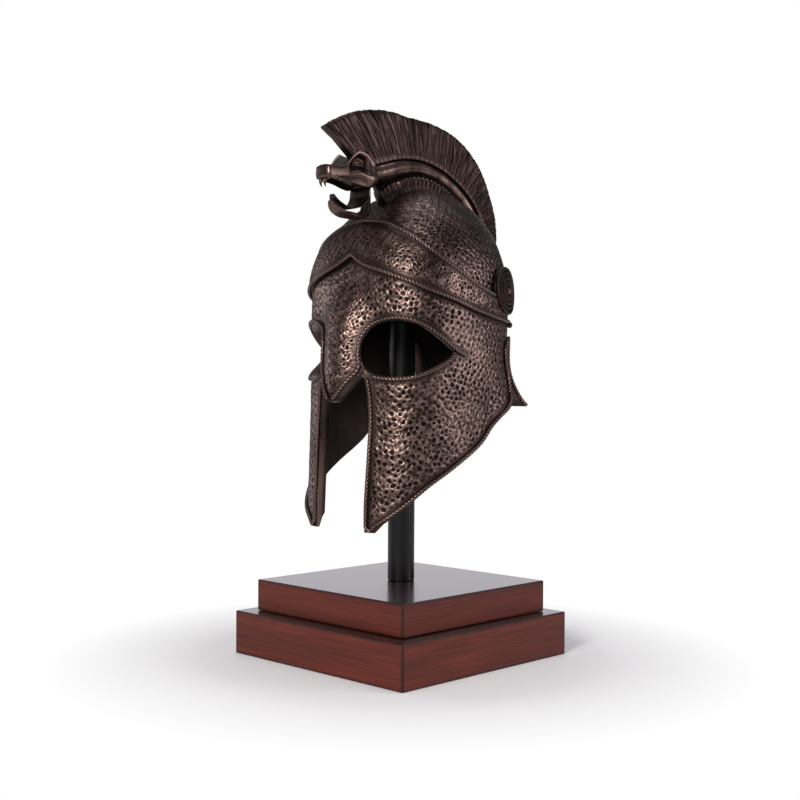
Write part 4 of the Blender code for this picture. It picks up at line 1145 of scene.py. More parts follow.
def helmet_skin(paths):
    """The outer skin with its hammering in four pieces, and the inside with the edges of the openings."""
    cad = frame["nodes"]["helmet_shell"].data
    co = np.zeros(len(cad.vertices) * 3, np.float32)
    cad.vertices.foreach_get("co", co)
    cad.calc_loop_triangles()
    tri = np.zeros(len(cad.loop_triangles) * 3, np.int32)
    cad.loop_triangles.foreach_get("vertices", tri)
    co = co.reshape(-1, 3).astype(float)
    keys = np.round(co * 1e6).astype(np.int64)
    _, first, back = np.unique(keys, axis=0, return_index=True, return_inverse=True)
    verts, tris = co[first], back.ravel()[tri].reshape(-1, 3)
    tris = tris[(tris[:, 0] != tris[:, 1]) & (tris[:, 1] != tris[:, 2]) & (tris[:, 2] != tris[:, 0])]
    middle = verts[tris].mean(1)
    facing = np.cross(verts[tris[:, 1]] - verts[tris[:, 0]], verts[tris[:, 2]] - verts[tris[:, 0]])
    facing /= np.maximum(np.linalg.norm(facing, axis=1, keepdims=True), 1e-15)
    angle, height = skin_angles(middle)
    normal = skin_normals(angle, height)
    off = ((middle - world(skin(angle, height))) * normal).sum(1)
    outer = (np.abs(off) < 0.0016) & ((facing * normal).sum(1) > 0.55)
    kind = np.where(outer, 0, 1)
    limits = np.array([0.00155, 0.0045])
    verts, tris, kind = refine(verts, tris, kind, limits)
    on_skin = np.zeros(len(verts), bool)
    on_skin[tris[kind == 0].ravel()] = True
    edge = np.zeros(len(verts), bool)
    edge[tris[kind == 1].ravel()] = True
    at = np.flatnonzero(on_skin)
    angle, height = skin_angles(verts[at])
    smooth = world(skin(angle, height))
    normal = skin_normals(angle, height)
    ropes = np.concatenate([p for path in paths[:3] for p in (path, mirrored(path))] + [paths[3]])
    for table, end in ((BAND_UPPER_LINE, 16.0), (BAND_LOWER_LINE, LOWER_ROPE_END)):
        degrees = np.linspace(-180.0 - end, end, 400)
        ropes = np.concatenate([ropes, skin(np.radians(degrees), band_line(table, degrees), ROPE_LIFT)])
    _, gap = nearest(tree_of(world(ropes)), smooth)
    calm = 1.0 - np.clip((gap - 0.0034) / 0.0040, 0.0, 1.0)
    spacing = pit_spacing(smooth)
    dome = np.clip((height - 0.245) / 0.05, 0.0, 1.0)
    depth = 0.00062 - 0.00030 * dome
    lift, wear_and_painted_light = hammered(smooth, spacing, depth, calm, 11)
    dent = wave_noise(smooth, 0.045, 5, 2) * 0.00022
    inner_edge = edge[at]
    lift = np.where(inner_edge, 0.0, lift + dent * (1.0 - calm))
    verts[at] = smooth + normal * lift[:, None]
    values = np.zeros(len(verts))
    # Painted shade: the dome is given a darker colour than the rest of the skin.
    values[at] = wear_and_painted_light - 0.45 * dome
    middle = verts[tris].mean(1)
    left, front = middle[:, 0] >= 0.0, middle[:, 1] < CENTRE_Y
    for name, chosen in (("front_left", left & front), ("front_right", ~left & front),
                         ("rear_left", left & ~front), ("rear_right", ~left & ~front)):
        used, part = own_verts(tris[(kind == 0) & chosen])
        add_mesh("helmet_skin_" + name, "helmet_shell", HAMMERED, verts[used], part, values[used])
    used, part = own_verts(tris[kind == 1])
    angle, height = skin_angles(verts[used])
    depth = ((world(skin(angle, height)) - verts[used]) * skin_normals(angle, height)).sum(1)
    # Painted shade: the inside of the shell and the deep part of the opening walls get darker with depth from
    # the outer skin.
    shade = np.interp(depth, [0.0, 0.5 * WALL, 0.9 * WALL], [0.6, 0.5, -1.2])
    add_mesh("helmet_inside", "helmet_shell", PLAIN, verts[used], part, shade, 42.0)


def brow_band_look():
    """The raised band, its lower edge an overhanging lip."""
    profile = ((0.000, -0.0006), (0.004, 0.0022), (0.020, 0.0036), (0.075, 0.0043))
    rows = 54
    columns = 560
    shares = np.concatenate([[p[0] for p in profile], np.linspace(0.11, 0.90, rows),
                             [0.94, 0.975, 0.994, 1.0]])
    lifts = np.concatenate([[p[1] for p in profile], np.full(rows, BAND_SEAT + BAND_THICKNESS),
                            [0.0042, 0.0036, 0.0022, -0.0006]])
    inset = -0.0004
    ends = [last_angle(lambda d, s=s: band_row(d, s, inset), ROSETTE_RADIUS - 0.0012, BAND_END + 4.0)
            for s in shares]
    rings = []
    for at in np.linspace(-1.0, 1.0, columns):
        degrees = np.array([-90.0 + at * (end + 90.0) for end in ends])
        low, high = band_line(BAND_LOWER_LINE, degrees), band_line(BAND_UPPER_LINE, degrees)
        heights = low + (high - low) * shares
        rings.append((np.radians(degrees), heights))
    angle = np.array([r[0] for r in rings]).ravel()
    height = np.array([r[1] for r in rings]).ravel()
    normal = skin_normals(angle, height)
    base = world(skin(angle, height))
    lift = np.tile(lifts, columns)
    from_edge = np.tile(np.minimum(shares, 1.0 - shares), columns)
    calm = 1.0 - np.clip((from_edge - 0.10) / 0.12, 0.0, 1.0)
    relief, wear_and_painted_light = hammered(base, np.full(len(base), 0.0034), np.full(len(base), 0.00048), calm, 31)
    verts = base + normal * (lift + relief)[:, None]
    faces = grid_faces(columns, len(shares))
    tris = np.concatenate([faces[:, [0, 1, 2]], faces[:, [0, 2, 3]]])
    if facing_in(verts, tris, normal):
        tris = tris[:, ::-1]
    add_mesh("brow_band_face", "brow_band", HAMMERED, verts, tris, wear_and_painted_light)


def facing_in(verts, tris, normal):
    cross = np.cross(verts[tris[:, 1]] - verts[tris[:, 0]], verts[tris[:, 2]] - verts[tris[:, 0]])
    return (cross * normal[tris[:, 0]]).sum() < 0.0


def sunk(points, depth):
    """Lets a border sit a little into the skin it is cast on."""
    angle, height = skin_angles(world(points))
    return world(points) - skin_normals(angle, height) * depth


def border_looks(paths):
    upper, lower, cheek, neck = paths
    for name, points in (("eye_border_upper", upper), ("eye_border_lower", lower), ("cheek_border", cheek)):
        for side, flip, hand in (("left", np.asarray, 1.0), ("right", mirrored, -1.0)):
            rope = rope_mesh(sunk(flip(points), ROPE_SINK), STRAND_RADIUS, ROPE_PITCH, hand=hand)
            add_mesh(name + "_strands_" + side, name + "_" + side, ROPE, *rope)
    rope = rope_mesh(sunk(neck, ROPE_SINK), STRAND_RADIUS, ROPE_PITCH)
    add_mesh("neck_border_strands", "neck_border", ROPE, *rope)
    clear = ROSETTE_RADIUS + 0.0010
    lift = BAND_THICKNESS
    for name, table, end in (("upper", BAND_UPPER_LINE, BAND_END),
                             ("lower", BAND_LOWER_LINE, LOWER_ROPE_END)):
        last = last_angle(lambda d: float(band_line(table, d)), clear, end)
        degrees = np.linspace(-180.0 - last, last, 500)
        lifts = np.interp(np.abs(degrees + 90.0), [0.0, 90.0 + 22.0, 90.0 + 34.0], [lift, lift, 0.0022])
        points = world(skin(np.radians(degrees), band_line(table, degrees), lifts))
        rope = rope_mesh(points, STRAND_RADIUS, ROPE_PITCH)
        add_mesh("band_border_strands_" + name, "band_border_" + name, ROPE, *rope)


# A rosette's disc: shares of its radius and thickness
ROSETTE_ROWS = ((0.02, 0.84), (0.20, 0.80), (0.45, 0.76), (0.70, 0.72), (0.90, 0.68), (0.97, 0.60),
                (1.0, 0.35), (0.99, 0.0), (0.99, -0.15))
ROSETTE_RINGS = (0.905, 0.715, 0.525, 0.335)
RING_RADIUS = 0.0020
RING_PITCH = 0.0075
BOSS_RADIUS = 0.0032


def rosette_looks():
    turns = np.linspace(0.0, 2.0 * math.pi, 96, endpoint=False)
    for side, flip, hand in (("left", np.asarray, 1.0), ("right", mirrored, -1.0)):
        rings = []
        for r, h in ROSETTE_ROWS:
            across, up = r * ROSETTE_RADIUS * np.cos(turns), r * ROSETTE_RADIUS * np.sin(turns)
            rings.append(world(flip(rosette_point(across, up, BAND_SEAT + h * ROSETTE_THICKNESS))))
        verts, tris = capped(rings)
        meshes = [(verts, tris, np.full(len(verts), -1.5))]
        for reach in ROSETTE_RINGS:
            around = np.linspace(0.0, 2.0 * math.pi, 160)
            lift = BAND_SEAT + ROSETTE_THICKNESS * (0.86 - 0.12 * reach)
            points = world(flip(rosette_point(reach * ROSETTE_RADIUS * np.cos(around),
                                              reach * ROSETTE_RADIUS * np.sin(around), lift)))
            v, t, w = rope_mesh(points[:-1], RING_RADIUS, RING_PITCH, closed=True, turns=12, hand=hand)
            meshes.append((v, t, w - 0.85))
        boss = world(flip(rosette_point(0.0, 0.0, BAND_SEAT + ROSETTE_THICKNESS * 0.80)))
        around = turns[::6]
        ball = [boss + BOSS_RADIUS * np.stack([np.cos(around) * math.sin(p), np.sin(around) * math.sin(p),
                                               np.full(16, math.cos(p))], -1)
                for p in np.linspace(0.15, 2.99, 9)]
        verts, tris = capped(ball)
        meshes.append((verts, tris, np.full(len(verts), 0.4)))
        add_mesh("rosette_rings_" + side, "rosette_" + side, ROPE, *merge(meshes))


# Crest
PLEAT_STEP = 3.1
PLEAT_HEIGHT = 0.0088
BRICK_STEP = 2.8


def polar(degrees, radius, x):
    angle = np.radians(degrees)
    y = CREST_CENTRE_Y + radius * np.cos(angle)
    return world(np.stack([x + 0.0 * y, y, CREST_CENTRE_HEIGHT + radius * np.sin(angle)], -1))


def crest_tables():
    """The crest's radii at fine stations, read once."""
    at = np.linspace(CREST_BACK, RIDGE_FRONT, 90)
    rows = []
    for d in at:
        wide = float(ledge_half_width(d))
        rows.append((crest_radius(d), 0.0, serpent_centre(d), serpent_radius(d), float(ledge_rise(d)), wide,
                     crest_radius(d, wide)))
    return at, np.array(rows)


def segments(at, spacing, seed, gap=0.10):
    """How open each place is between blocks laid along the crest: 0 in a joint, 1 on a block."""
    rng = np.random.default_rng(seed)
    marks = [at.min() - 0.3 * spacing]
    while marks[-1] < at.max() + spacing:
        marks.append(marks[-1] + spacing * rng.uniform(0.84, 1.16))
    marks = np.array(marks)
    index = np.clip(np.searchsorted(marks, at) - 1, 0, len(marks) - 2)
    share = (at - marks[index]) / (marks[index + 1] - marks[index])
    away = np.minimum(share, 1.0 - share)
    return np.clip(away / gap, 0.0, 1.0) ** 0.6, rng.uniform(-0.5, 0.5, len(marks))[index]


def ridge_look(at, rows):
    """Rounded pleats stand on a smooth foot on both sides of the web."""
    fine = np.linspace(CREST_BACK, RIDGE_FRONT, 1000)
    skull, centre, radius, ledge, wide, edge = (np.interp(fine, at, rows[:, k]) for k in (0, 2, 3, 4, 5, 6))
    bulge, tone = segments(fine, PLEAT_STEP, 3, 0.46)
    web = centre - radius + 0.0004
    top = skull + ledge
    half = wide - 0.0016 * (1.0 - bulge)
    crown = top - 0.0015 * (1.0 - bulge)
    foot = np.maximum(edge + 0.0012, top - PLEAT_HEIGHT)
    inner = np.minimum(WEB_HALF_WIDTH + 0.0006, 0.8 * half)
    half_outline = [(wide * 0.99, edge - 0.0006), (wide, edge + 0.0006), (wide - 0.0012, foot),
                    (half, foot + 0.0012), (half, 0.5 * (foot + crown)), (half - 0.0003, crown - 0.0022),
                    (half - 0.0012, crown - 0.0007), (0.55 * (half + inner), crown), (inner, crown),
                    (inner - 0.0006, crown + 0.0004), (inner - 0.0006, web)]
    columns = [(-x, r) for x, r in half_outline] + half_outline[::-1]
    rings = np.stack([polar(fine, r, x) for x, r in columns], 1)
    verts, tris = capped(rings, [polar(fine[k], crown[k] - 0.0010, 0.0) for k in (0, -1)])
    value = 1.25 * bulge - 1.05 + 0.3 * tone
    # Painted shade and highlight across the ridge: darker down to the skull and darkest on the web under the
    # neck, lighter on the outer top edge; the darker joints between pleats are the bronze's own.
    side = np.array([-0.5, -0.5, -0.3, 0.0, 0.0, 0.15, 0.35, 0.1, -0.4, -1.0, -1.3])
    wear_and_painted_light = value[:, None] + np.concatenate([side, side[::-1]])
    add_mesh("crest_ridge_pleats", "crest_ridge", CHASED, verts, tris, with_ends(wear_and_painted_light))


def strip_look(at, rows):
    fine = np.linspace(CREST_BACK, STRIP_FRONT, 900)
    centre, radius = (np.interp(fine, at, rows[:, k]) for k in (2, 3))
    low = centre + radius - 0.0006
    open_, tone = segments(fine, BRICK_STEP, 9, 0.12)
    half = STRIP_HALF_WIDTH - 0.0011 * (1.0 - open_) + 0.0002 * tone
    high = centre + radius + SEAT_GAP + STRIP_THICKNESS - 0.0006 * (1.0 - open_)
    columns = [(-half * 0.96, low), (-half, low + 0.0012), (-half, high - 0.0012),
               (-half * 0.93, high - 0.0002), (-half * 0.70, high)]
    columns = columns + [(-x, r) for x, r in columns[::-1]]
    rings = np.stack([polar(fine, r, x) for x, r in columns], 1)
    verts, tris = capped(rings)
    wear_and_painted_light = np.repeat((1.2 * open_ - 0.8 + 0.4 * tone)[:, None], len(columns), 1)
    # Painted shade: the strip's lower edges, where it sits on the neck, are darkened.
    wear_and_painted_light[:, 0] = wear_and_painted_light[:, -1] = -1.2
    add_mesh("crest_strip_blocks", "crest_strip", CHASED, verts, tris, with_ends(wear_and_painted_light))


LOCK_WIDTH = 0.0015
GROOVE_DEPTH = 0.0015
PLUME_TRIM = 0.0003


def plume_look():
    """Hair combed out in fine grooved locks on both sides, with a plain front face."""
    count = 1150
    coarse = np.concatenate([np.linspace(CREST_BACK, STRIP_FRONT, 40),
                             np.linspace(STRIP_FRONT + 0.4, PLUME_FOOT_FRONT, 24)])
    lows = []
    for d in coarse:
        low = strip_bottom(d) + STRIP_THICKNESS - 0.0004 if d <= STRIP_FRONT else 0.0
        lows.append(max(low, head_clear_radius(d) - 0.0010))
    foot = np.linspace(CREST_BACK, PLUME_FOOT_FRONT, count)
    last = PLUME_TOP_LINE[0][0]
    lean = ((foot - CREST_BACK) / (PLUME_FOOT_FRONT - CREST_BACK)) ** 2.2
    top = foot + (last - PLUME_FOOT_FRONT) * lean
    low = np.interp(foot, coarse, lows)
    high = np.maximum(smooth_table(PLUME_TOP_LINE, 1, top) * CREST_RADIUS - PLUME_TRIM, low + 0.0015)
    shares = np.concatenate([np.linspace(0.0, 0.93, 17), [0.975, 1.0]])
    length = 0.165 * np.radians(foot - CREST_BACK)
    rng = np.random.default_rng(4)
    rings = []
    values = []
    for side in (-1.0, 1.0):
        bend = rng.uniform(0.0, 6.28, 3)
        grid = []
        wear_and_painted_light_lists = []
        for share in shares:
            drift = 0.0012 * np.sin(length * 95.0 + bend[0] + share * 1.4)
            drift = drift + 0.0007 * np.sin(length * 260.0 + bend[1] + share * 2.6)
            q = (length + drift * share + 0.0010 * np.sin(length * 610.0 + bend[2] + share)) / LOCK_WIDTH
            cell = np.floor(q)
            jitter = np.sin(cell * 12.9898 + side * 3.1) * 43758.5453
            jitter = jitter - np.floor(jitter)
            inside = q - cell
            groove = np.exp(-((inside - 0.2 - 0.5 * jitter) / 0.17) ** 2)
            deep = np.clip(0.50 + 0.85 * np.sin(cell * 2.399 + share * (3.0 + 5.0 * jitter)), 0.05, 1.0)
            fine = np.sin(q * 14.2 + share * 5.0) * 0.12
            value = 1.15 - 4.4 * groove * deep + 2.2 * fine
            taper = 1.0 - 0.18 * share
            x = side * (PLUME_HALF_WIDTH * taper - GROOVE_DEPTH * groove * deep)
            if share > 0.95:
                x = x * (0.86 if share < 0.99 else 0.45)
            degrees = foot + (top - foot) * share
            radius = low + (high - low) * share - (0.0009 * (1.0 - jitter) + 0.0006 * groove) * (share > 0.96)
            grid.append(polar(degrees, radius, x))
            wear_and_painted_light_lists.append(value - 1.05 + 0.55 * (jitter - 0.5))
        order = slice(None) if side < 0.0 else slice(None, None, -1)
        rings += grid[order]
        values += wear_and_painted_light_lists[order]
    rings = np.stack(rings, 1)
    values = np.stack(values, 1)
    values[-3:] = -0.1
    verts, tris = capped(rings)
    add_mesh("crest_plume_hair", "crest_plume", CHASED, verts, tris, with_ends(values), 70.0)


def neck_look(at, rows):
    fine = np.linspace(CREST_BACK, RIDGE_FRONT - 4.0, 160)
    centre, radius = (np.interp(fine, at, rows[:, k]) for k in (2, 3))
    turns = np.linspace(0.0, 2.0 * math.pi, 32, endpoint=False)
    rings = [[polar(d, c + r * math.cos(t), r * math.sin(t)) for t in turns]
             for d, c, r in zip(fine, centre, radius)]
    end = world(np.array([0.0, HEAD_BACK_Y - 0.0015, NECK_END[2]]))
    wide = serpent_radius(RIDGE_FRONT)
    last = [end + wide * np.array([math.sin(t) * 1.08, 0.0, math.cos(t)]) for t in turns]
    before = np.array(rings[-1])
    for share in (0.34, 0.67, 1.0):
        rings.append(list(before + (np.array(last) - before) * share))
    verts, tris = capped(rings)
    wear_and_painted_light = 0.45 + 0.6 * wave_noise(verts, 0.02, 8)
    add_mesh("serpent_body", "serpent_neck", POLISHED, verts, tris, wear_and_painted_light)


# Serpent's head
def bell(value, centre, width):
    return np.exp(-((value - centre) / width) ** 2)


def step_up(value, start, end):
    share = np.clip((value - start) / (end - start), 0.0, 1.0)
    return share * share * (3.0 - 2.0 * share)


def head_ring(along, across, up):
    """One half section of the head with its brow ridge, eye socket, cheek, lip, palate and nostrils."""
    width, bottom, brow, crown = (head_row(along, k) for k in (1, 2, 3, 4))
    nose = min(1.0, along / 0.045)
    round_nose = 0.70 + 0.30 * math.sqrt(max(0.0, 1.0 - (1.0 - nose) ** 2))
    width = width * round_nose
    middle = 0.5 * (bottom + crown)
    bottom, brow, crown = (middle + (v - middle) * round_nose for v in (bottom, brow, crown))
    z = np.where(up <= 1.0, bottom + (brow - bottom) * up, brow + (crown - brow) * (up - 1.0))
    x = across * width * HEAD_HALF_WIDTH
    arch = step_up(along, 0.28, 0.42) * (1.0 - step_up(along, 0.86, 0.95))
    ridge = arch * bell(up, 1.0, 0.075)
    under = step_up(up, 0.40, 0.60) * (1.0 - step_up(up, 0.84, 0.95))
    socket = step_up(along, 0.36, 0.50) * (1.0 - step_up(along, 0.70, 0.82)) * under
    cheek = bell(along, 0.80, 0.16) * bell(up, 0.36, 0.16)
    dip = step_up(along, 0.15, 0.30) * (1.0 - step_up(along, 0.60, 0.75)) * bell(up, 0.22, 0.11)
    lip = bell(up, 0.05, 0.05) * (along < 0.93)
    hollow = np.clip(1.0 - (across / 0.80) ** 4, 0.0, 1.0) * (up < 0.10)
    palate = hollow * step_up(along, 0.06, 0.14) * (1.0 - step_up(along, 0.74, 0.84))
    nostril = (bell(along, 0.085, 0.028) + 0.8 * bell(along, 0.185, 0.028)) * bell(up, 0.98, 0.10)
    tooth_bump = bell(along, 0.165, 0.030) * bell(up, 0.22, 0.12)
    x = x + 0.0009 * ridge - 0.0052 * socket + 0.0010 * cheek
    x = x - 0.0013 * dip + 0.0006 * lip + 0.0008 * tooth_bump
    x = np.where(across > 0.05, x, 0.0)
    z = z + 0.035 * ridge + 0.16 * palate + 0.032 * nostril
    # Painted shade: the eye socket, the palate and the dip above the lip are darkened; the brow ridge, cheek,
    # nostrils and tooth bumps are lighter, as rubbed bronze with a painted highlight.
    tone = 0.9 * ridge - 2.2 * socket + 0.5 * cheek - 2.4 * palate
    tone = tone - 0.9 * dip + 0.5 * nostril + 0.6 * tooth_bump
    y = np.full(len(x), HEAD_BACK_Y - (1.0 - along) * HEAD_LENGTH)
    half = np.stack([x, y, CHIN_HEIGHT + z * HEAD_HEIGHT], -1)
    return np.concatenate([half, mirrored(half[-2:0:-1])]), np.concatenate([tone, tone[-2:0:-1]])


EYE_PLACE = (0.0100, 0.585, 0.735)
LID_HALF = (0.0050, 0.0027)


def serpent_eye(side):
    """A small ball between two lids in the socket."""
    across, along, up = EYE_PLACE
    eye = world(head_place(along, up, side * across))
    turns = np.linspace(0.0, 2.0 * math.pi, 24, endpoint=False)
    ball = [eye + np.stack([np.full(24, side * 0.0026 * math.cos(p)), 0.0025 * np.cos(turns) * math.sin(p),
                            0.0021 * np.sin(turns) * math.sin(p)], -1) for p in np.linspace(0.1, 3.04, 14)]
    v, t = capped(ball)
    meshes = [(v, t, np.full(len(v), 0.45))]
    for reach, out, thick, tone in ((1.0, 0.0010, 0.00065, 0.3), (1.42, -0.0002, 0.00045, -0.2)):
        lid = []
        for a in np.linspace(0.0, 2.0 * math.pi, 60)[:-1]:
            height = LID_HALF[1] * reach * math.sin(a) * abs(math.sin(a)) ** 0.35
            lid.append(eye + np.array([side * out, LID_HALF[0] * reach * math.cos(a), height]))
        v, t, w = plain_tube(lid, thick, closed=True)
        meshes.append((v, t, w + tone))
    return meshes


def head_look():
    stations = np.concatenate([[0.0, 0.003, 0.008, 0.015, 0.024, 0.034], np.linspace(0.045, 1.0, 130)])
    outline = np.array(HEAD_OUTLINE)
    keyed = np.column_stack([np.arange(len(outline)), outline])
    along_outline = np.linspace(0.0, len(outline) - 1.0, 60)
    across = smooth_table(keyed, 1, along_outline)
    up = smooth_table(keyed, 2, along_outline)
    rings, shade = zip(*(head_ring(along, across, up) for along in stations))
    verts, tris = capped(world(np.array(rings)))
    form = (verts, tris, with_ends(np.array(shade)))
    meshes = [form] + serpent_eye(1.0) + serpent_eye(-1.0)
    add_mesh("serpent_head_form", "serpent_head", POLISHED, *merge(meshes))


def plain_tube(points, radius, closed=False, turns=10, radii=(1.0, 1.0)):
    """A round bar along a path; radii are shares of the radius from its start to its end."""
    path, at = even_path(points, 0.0005, closed)
    angles = np.linspace(0.0, 2.0 * math.pi, turns, endpoint=False)
    r = np.interp(at / at[-1], np.linspace(0, 1, len(radii)), radii) * radius
    verts, tris = capped(rings_round(path, r[:, None], angles))
    return verts, tris, np.zeros(len(verts))


def fang_looks():
    along = FANG_PLACE[0]
    top = head_place(along, head_row(along, 2), 0.0)
    for side, name in ((1.0, "left"), (-1.0, "right")):
        root = world(top + np.array([side * FANG_PLACE[1] * HEAD_HALF_WIDTH, 0.0, 0.0006]))
        shares = np.linspace(0.0, 1.0, 9)
        curve = [(-0.22 * math.sin(s * 3.0) + 0.10 * s * s) * FANG_LENGTH for s in shares]
        points = [root + np.array([0.0, y, -s * FANG_LENGTH]) for s, y in zip(shares, curve)]
        v, t, w = plain_tube(points, FANG_RADIUS, turns=14, radii=(1.0, 0.92, 0.78, 0.58, 0.32, 0.05))
        add_mesh("serpent_fang_point_" + name, "serpent_fang_" + name, POLISHED, v, t, w - 0.3)


def jaw_look():
    rings = []
    thick = JAW_THICKNESS
    for place, inward, (width, sides, keel) in plate_frames(under_head(JAW_LINE, thick), 90):
        half = width * JAW_HALF_WIDTH
        lip = max(sides * JAW_HALF_WIDTH, 1.05 * thick)
        raised = max(keel * JAW_KEEL - thick, 0.0)
        t = np.linspace(-1.0, 1.0, 25)
        outer = np.stack([half * np.sign(t) * np.abs(t) ** 0.75, lip * np.abs(t) ** 4.0], -1)
        inner_x = (half - 0.75 * thick) * np.sign(t) * np.abs(t) ** 0.75
        floor = np.maximum(thick + (lip - thick) * np.abs(t) ** 4.0,
                           thick + raised * (1.0 - step_up(np.abs(t), 0.30, 0.62)))
        inner = np.stack([inner_x, floor], -1)
        outline = np.concatenate([outer, [[half - 0.2 * thick, lip + 0.12 * thick]], inner[::-1],
                                  [[0.2 * thick - half, lip + 0.12 * thick]]])
        rings.append([place + inward * u + np.array([x, 0.0, 0.0]) for x, u in outline])
    verts, tris = capped(world(np.array(rings)))
    # Painted shade: the inside of the scoop is darker than its outside; the rim is lighter, as rubbed bronze.
    wear_and_painted_light = with_ends(np.tile(np.concatenate([np.full(25, 0.1), [0.9], np.full(25, -0.7), [0.9]]), len(rings)))
    add_mesh("serpent_jaw_scoop", "serpent_jaw", POLISHED, verts, tris, wear_and_painted_light, 50.0)


TONGUE_ROOT = 0.0042


def tongue_look():
    """A thin sheet whose root runs up into the hollow of the palate."""
    rings = []
    thick = 0.5 * TONGUE_THICKNESS
    for place, inward, (width,) in plate_frames(under_head(TONGUE_LINE, TONGUE_THICKNESS), 60):
        half = width * TONGUE_HALF_WIDTH
        turns = np.linspace(0.0, 2.0 * math.pi, 28, endpoint=False)
        x = half * np.sign(np.cos(turns)) * np.abs(np.cos(turns)) ** 0.55
        u = thick * np.sign(np.sin(turns)) * np.abs(np.sin(turns)) ** 0.8
        u = u - 0.10 * thick * np.cos(x / half * math.pi)
        rings.append([place + inward * b + np.array([a, 0.0, 0.0]) for a, b in zip(x, u)])
    rings = np.array(rings)
    if rings[0, :, 2].mean() < rings[-1, :, 2].mean():
        rings = rings[::-1]
    root = rings[0] * (0.92, 1.0, 1.0) + (0.0, 0.0, TONGUE_ROOT)
    verts, tris = capped(world(np.concatenate([root[None], rings])))
    wear_and_painted_light = np.full(len(verts), -0.7)
    add_mesh("serpent_tongue_sheet", "serpent_tongue", POLISHED, verts, tris, wear_and_painted_light)


# Pieces
PATHS = border_paths()
helmet_skin(PATHS)
brow_band_look()
border_looks(PATHS)
rosette_looks()
AT, ROWS = crest_tables()
ridge_look(AT, ROWS)
strip_look(AT, ROWS)
plume_look()
neck_look(AT, ROWS)
head_look()
fang_looks()
jaw_look()
tongue_look()

for name, material in (
        ("side_knob_left", ROPE), ("side_knob_right", ROPE), ("stand_post", black_paint()),
        ("base_lower", mahogany("mahogany_lower", BASE_LOWER_SIDE / 2.0, 0.0, BASE_LOWER_HEIGHT)),
        ("base_upper", mahogany("mahogany_upper", BASE_UPPER_SIDE / 2.0, BASE_LOWER_HEIGHT, BASE_TOP))):
    for slot in frame["nodes"][name].material_slots:
        slot.material = material


# Floor, light and camera
def area_light(name, place, target, size, power, colour=(1.0, 1.0, 1.0)):
    data = bpy.data.lights.new(name, "AREA")
    data.energy = power
    data.color = colour
    data.size = size
    lamp = bpy.data.objects.new(name, data)
    lamp.location = place
    lamp.rotation_euler = (Vector(target) - Vector(place)).to_track_quat("-Z", "Y").to_euler()
    bpy.context.scene.collection.objects.link(lamp)


FLOOR_RADIUS = 0.34
FLOOR_FADE = 0.15


def pale_floor():
    """A white floor that goes over into the white background a little way from the base."""
    floor_mesh = bpy.data.meshes.new("floor")
    floor_mesh.from_pydata([(-9, -9, 0), (9, -9, 0), (9, 9, 0), (-9, 9, 0)], [], [(0, 1, 2, 3)])
    floor = bpy.data.objects.new("floor", floor_mesh)
    bpy.context.scene.collection.objects.link(floor)
    material, tree, shader = principled("pale_floor")
    shader.inputs["Base Color"].default_value = (0.95, 0.95, 0.95, 1.0)
    shader.inputs["Roughness"].default_value = 0.9
    place = tree.nodes.new("ShaderNodeTexCoord").outputs["Object"]
    length = tree.nodes.new("ShaderNodeVectorMath")
    length.operation = "LENGTH"
    tree.links.new(place, length.inputs[0])
    away = maths(tree, "SUBTRACT", length.outputs["Value"], FLOOR_RADIUS - FLOOR_FADE)
    away = maths(tree, "DIVIDE", away, FLOOR_FADE, clamp=True)
    glow = tree.nodes.new("ShaderNodeEmission")
    glow.inputs["Color"].default_value = (1.0, 1.0, 1.0, 1.0)
    glow.inputs["Strength"].default_value = 1.0
    seen = tree.nodes.new("ShaderNodeLightPath")
    mix = tree.nodes.new("ShaderNodeMixShader")
    tree.links.new(maths(tree, "MULTIPLY", away, seen.outputs["Is Camera Ray"]), mix.inputs[0])
    tree.links.new(shader.outputs[0], mix.inputs[1])
    tree.links.new(glow.outputs[0], mix.inputs[2])
    tree.links.new(mix.outputs[0], tree.nodes["Material Output"].inputs["Surface"])
    floor_mesh.materials.append(material)


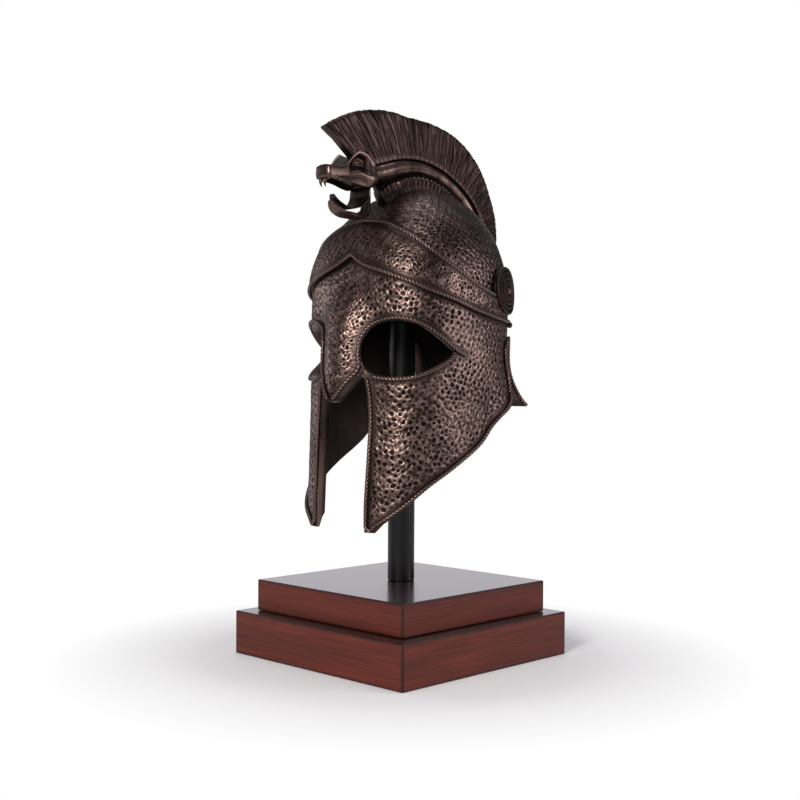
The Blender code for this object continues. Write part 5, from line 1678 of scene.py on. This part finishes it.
def studio():
    pale_floor()
    studio_world = bpy.data.worlds.new("studio")
    bpy.context.scene.world = studio_world
    studio_world.use_nodes = True
    tree = studio_world.node_tree
    back = tree.nodes["Background"]
    seen = tree.nodes.new("ShaderNodeLightPath")
    white = tree.nodes.new("ShaderNodeBackground")
    white.inputs["Color"].default_value = (1.0, 1.0, 1.0, 1.0)
    white.inputs["Strength"].default_value = 1.0
    back.inputs["Color"].default_value = (0.60, 0.57, 0.62, 1.0)
    back.inputs["Strength"].default_value = 0.30
    mix = tree.nodes.new("ShaderNodeMixShader")
    tree.links.new(seen.outputs["Is Camera Ray"], mix.inputs[0])
    tree.links.new(back.outputs[0], mix.inputs[1])
    tree.links.new(white.outputs[0], mix.inputs[2])
    tree.links.new(mix.outputs[0], tree.nodes["World Output"].inputs[0])
    aim = (0.0, 0.0, 0.34)
    area_light("key", (0.62, -1.62, 0.92), aim, 0.50, 20.5, (1.0, 0.97, 0.955))
    area_light("left", (-1.45, -0.55, 0.55), aim, 0.9, 3.4, (0.97, 0.95, 1.0))
    area_light("right", (1.45, 0.85, 0.62), aim, 0.9, 8.0, (0.97, 0.94, 1.0))
    area_light("top", (0.0, 0.1, 2.2), aim, 1.6, 15.0)
    area_light("behind", (-1.50, 1.50, 0.55), (0.0, 0.0, 0.10), 1.6, 6.0, (0.97, 0.94, 1.0))


CAMERA_PLACE = (0.8664, -0.8857, 0.2643)
CAMERA_YAW = math.radians(44.53)
CAMERA_PITCH = math.radians(0.66)
CAMERA_ROLL = math.radians(0.3)
SENSOR = 36.0
FRAME_PIXELS = 800.0
FOCAL_PIXELS = 1258.0
SHIFT_PIXELS = 1.7


def camera():
    data = bpy.data.cameras.new("camera")
    data.sensor_width = SENSOR
    data.lens = FOCAL_PIXELS / FRAME_PIXELS * SENSOR
    data.shift_x = SHIFT_PIXELS / FRAME_PIXELS
    data.clip_start = 0.01
    data.clip_end = 200.0
    made = bpy.data.objects.new("camera", data)
    bpy.context.scene.collection.objects.link(made)
    yaw, pitch, roll = CAMERA_YAW, CAMERA_PITCH, CAMERA_ROLL
    ahead = np.array([-math.sin(yaw) * math.cos(pitch), math.cos(yaw) * math.cos(pitch), -math.sin(pitch)])
    right = np.array([math.cos(yaw), math.sin(yaw), 0.0])
    up = np.cross(right, ahead)
    turned_right = right * math.cos(roll) + up * math.sin(roll)
    turned_up = up * math.cos(roll) - right * math.sin(roll)
    columns = [(*way, 0.0) for way in (turned_right, turned_up, -ahead)] + [(*CAMERA_PLACE, 1.0)]
    made.matrix_world = Matrix(columns).transposed()
    bpy.context.scene.camera = made


studio()
camera()
bpy.context.scene.view_settings.view_transform = "Standard"
bpy.context.scene.view_settings.look = "None"
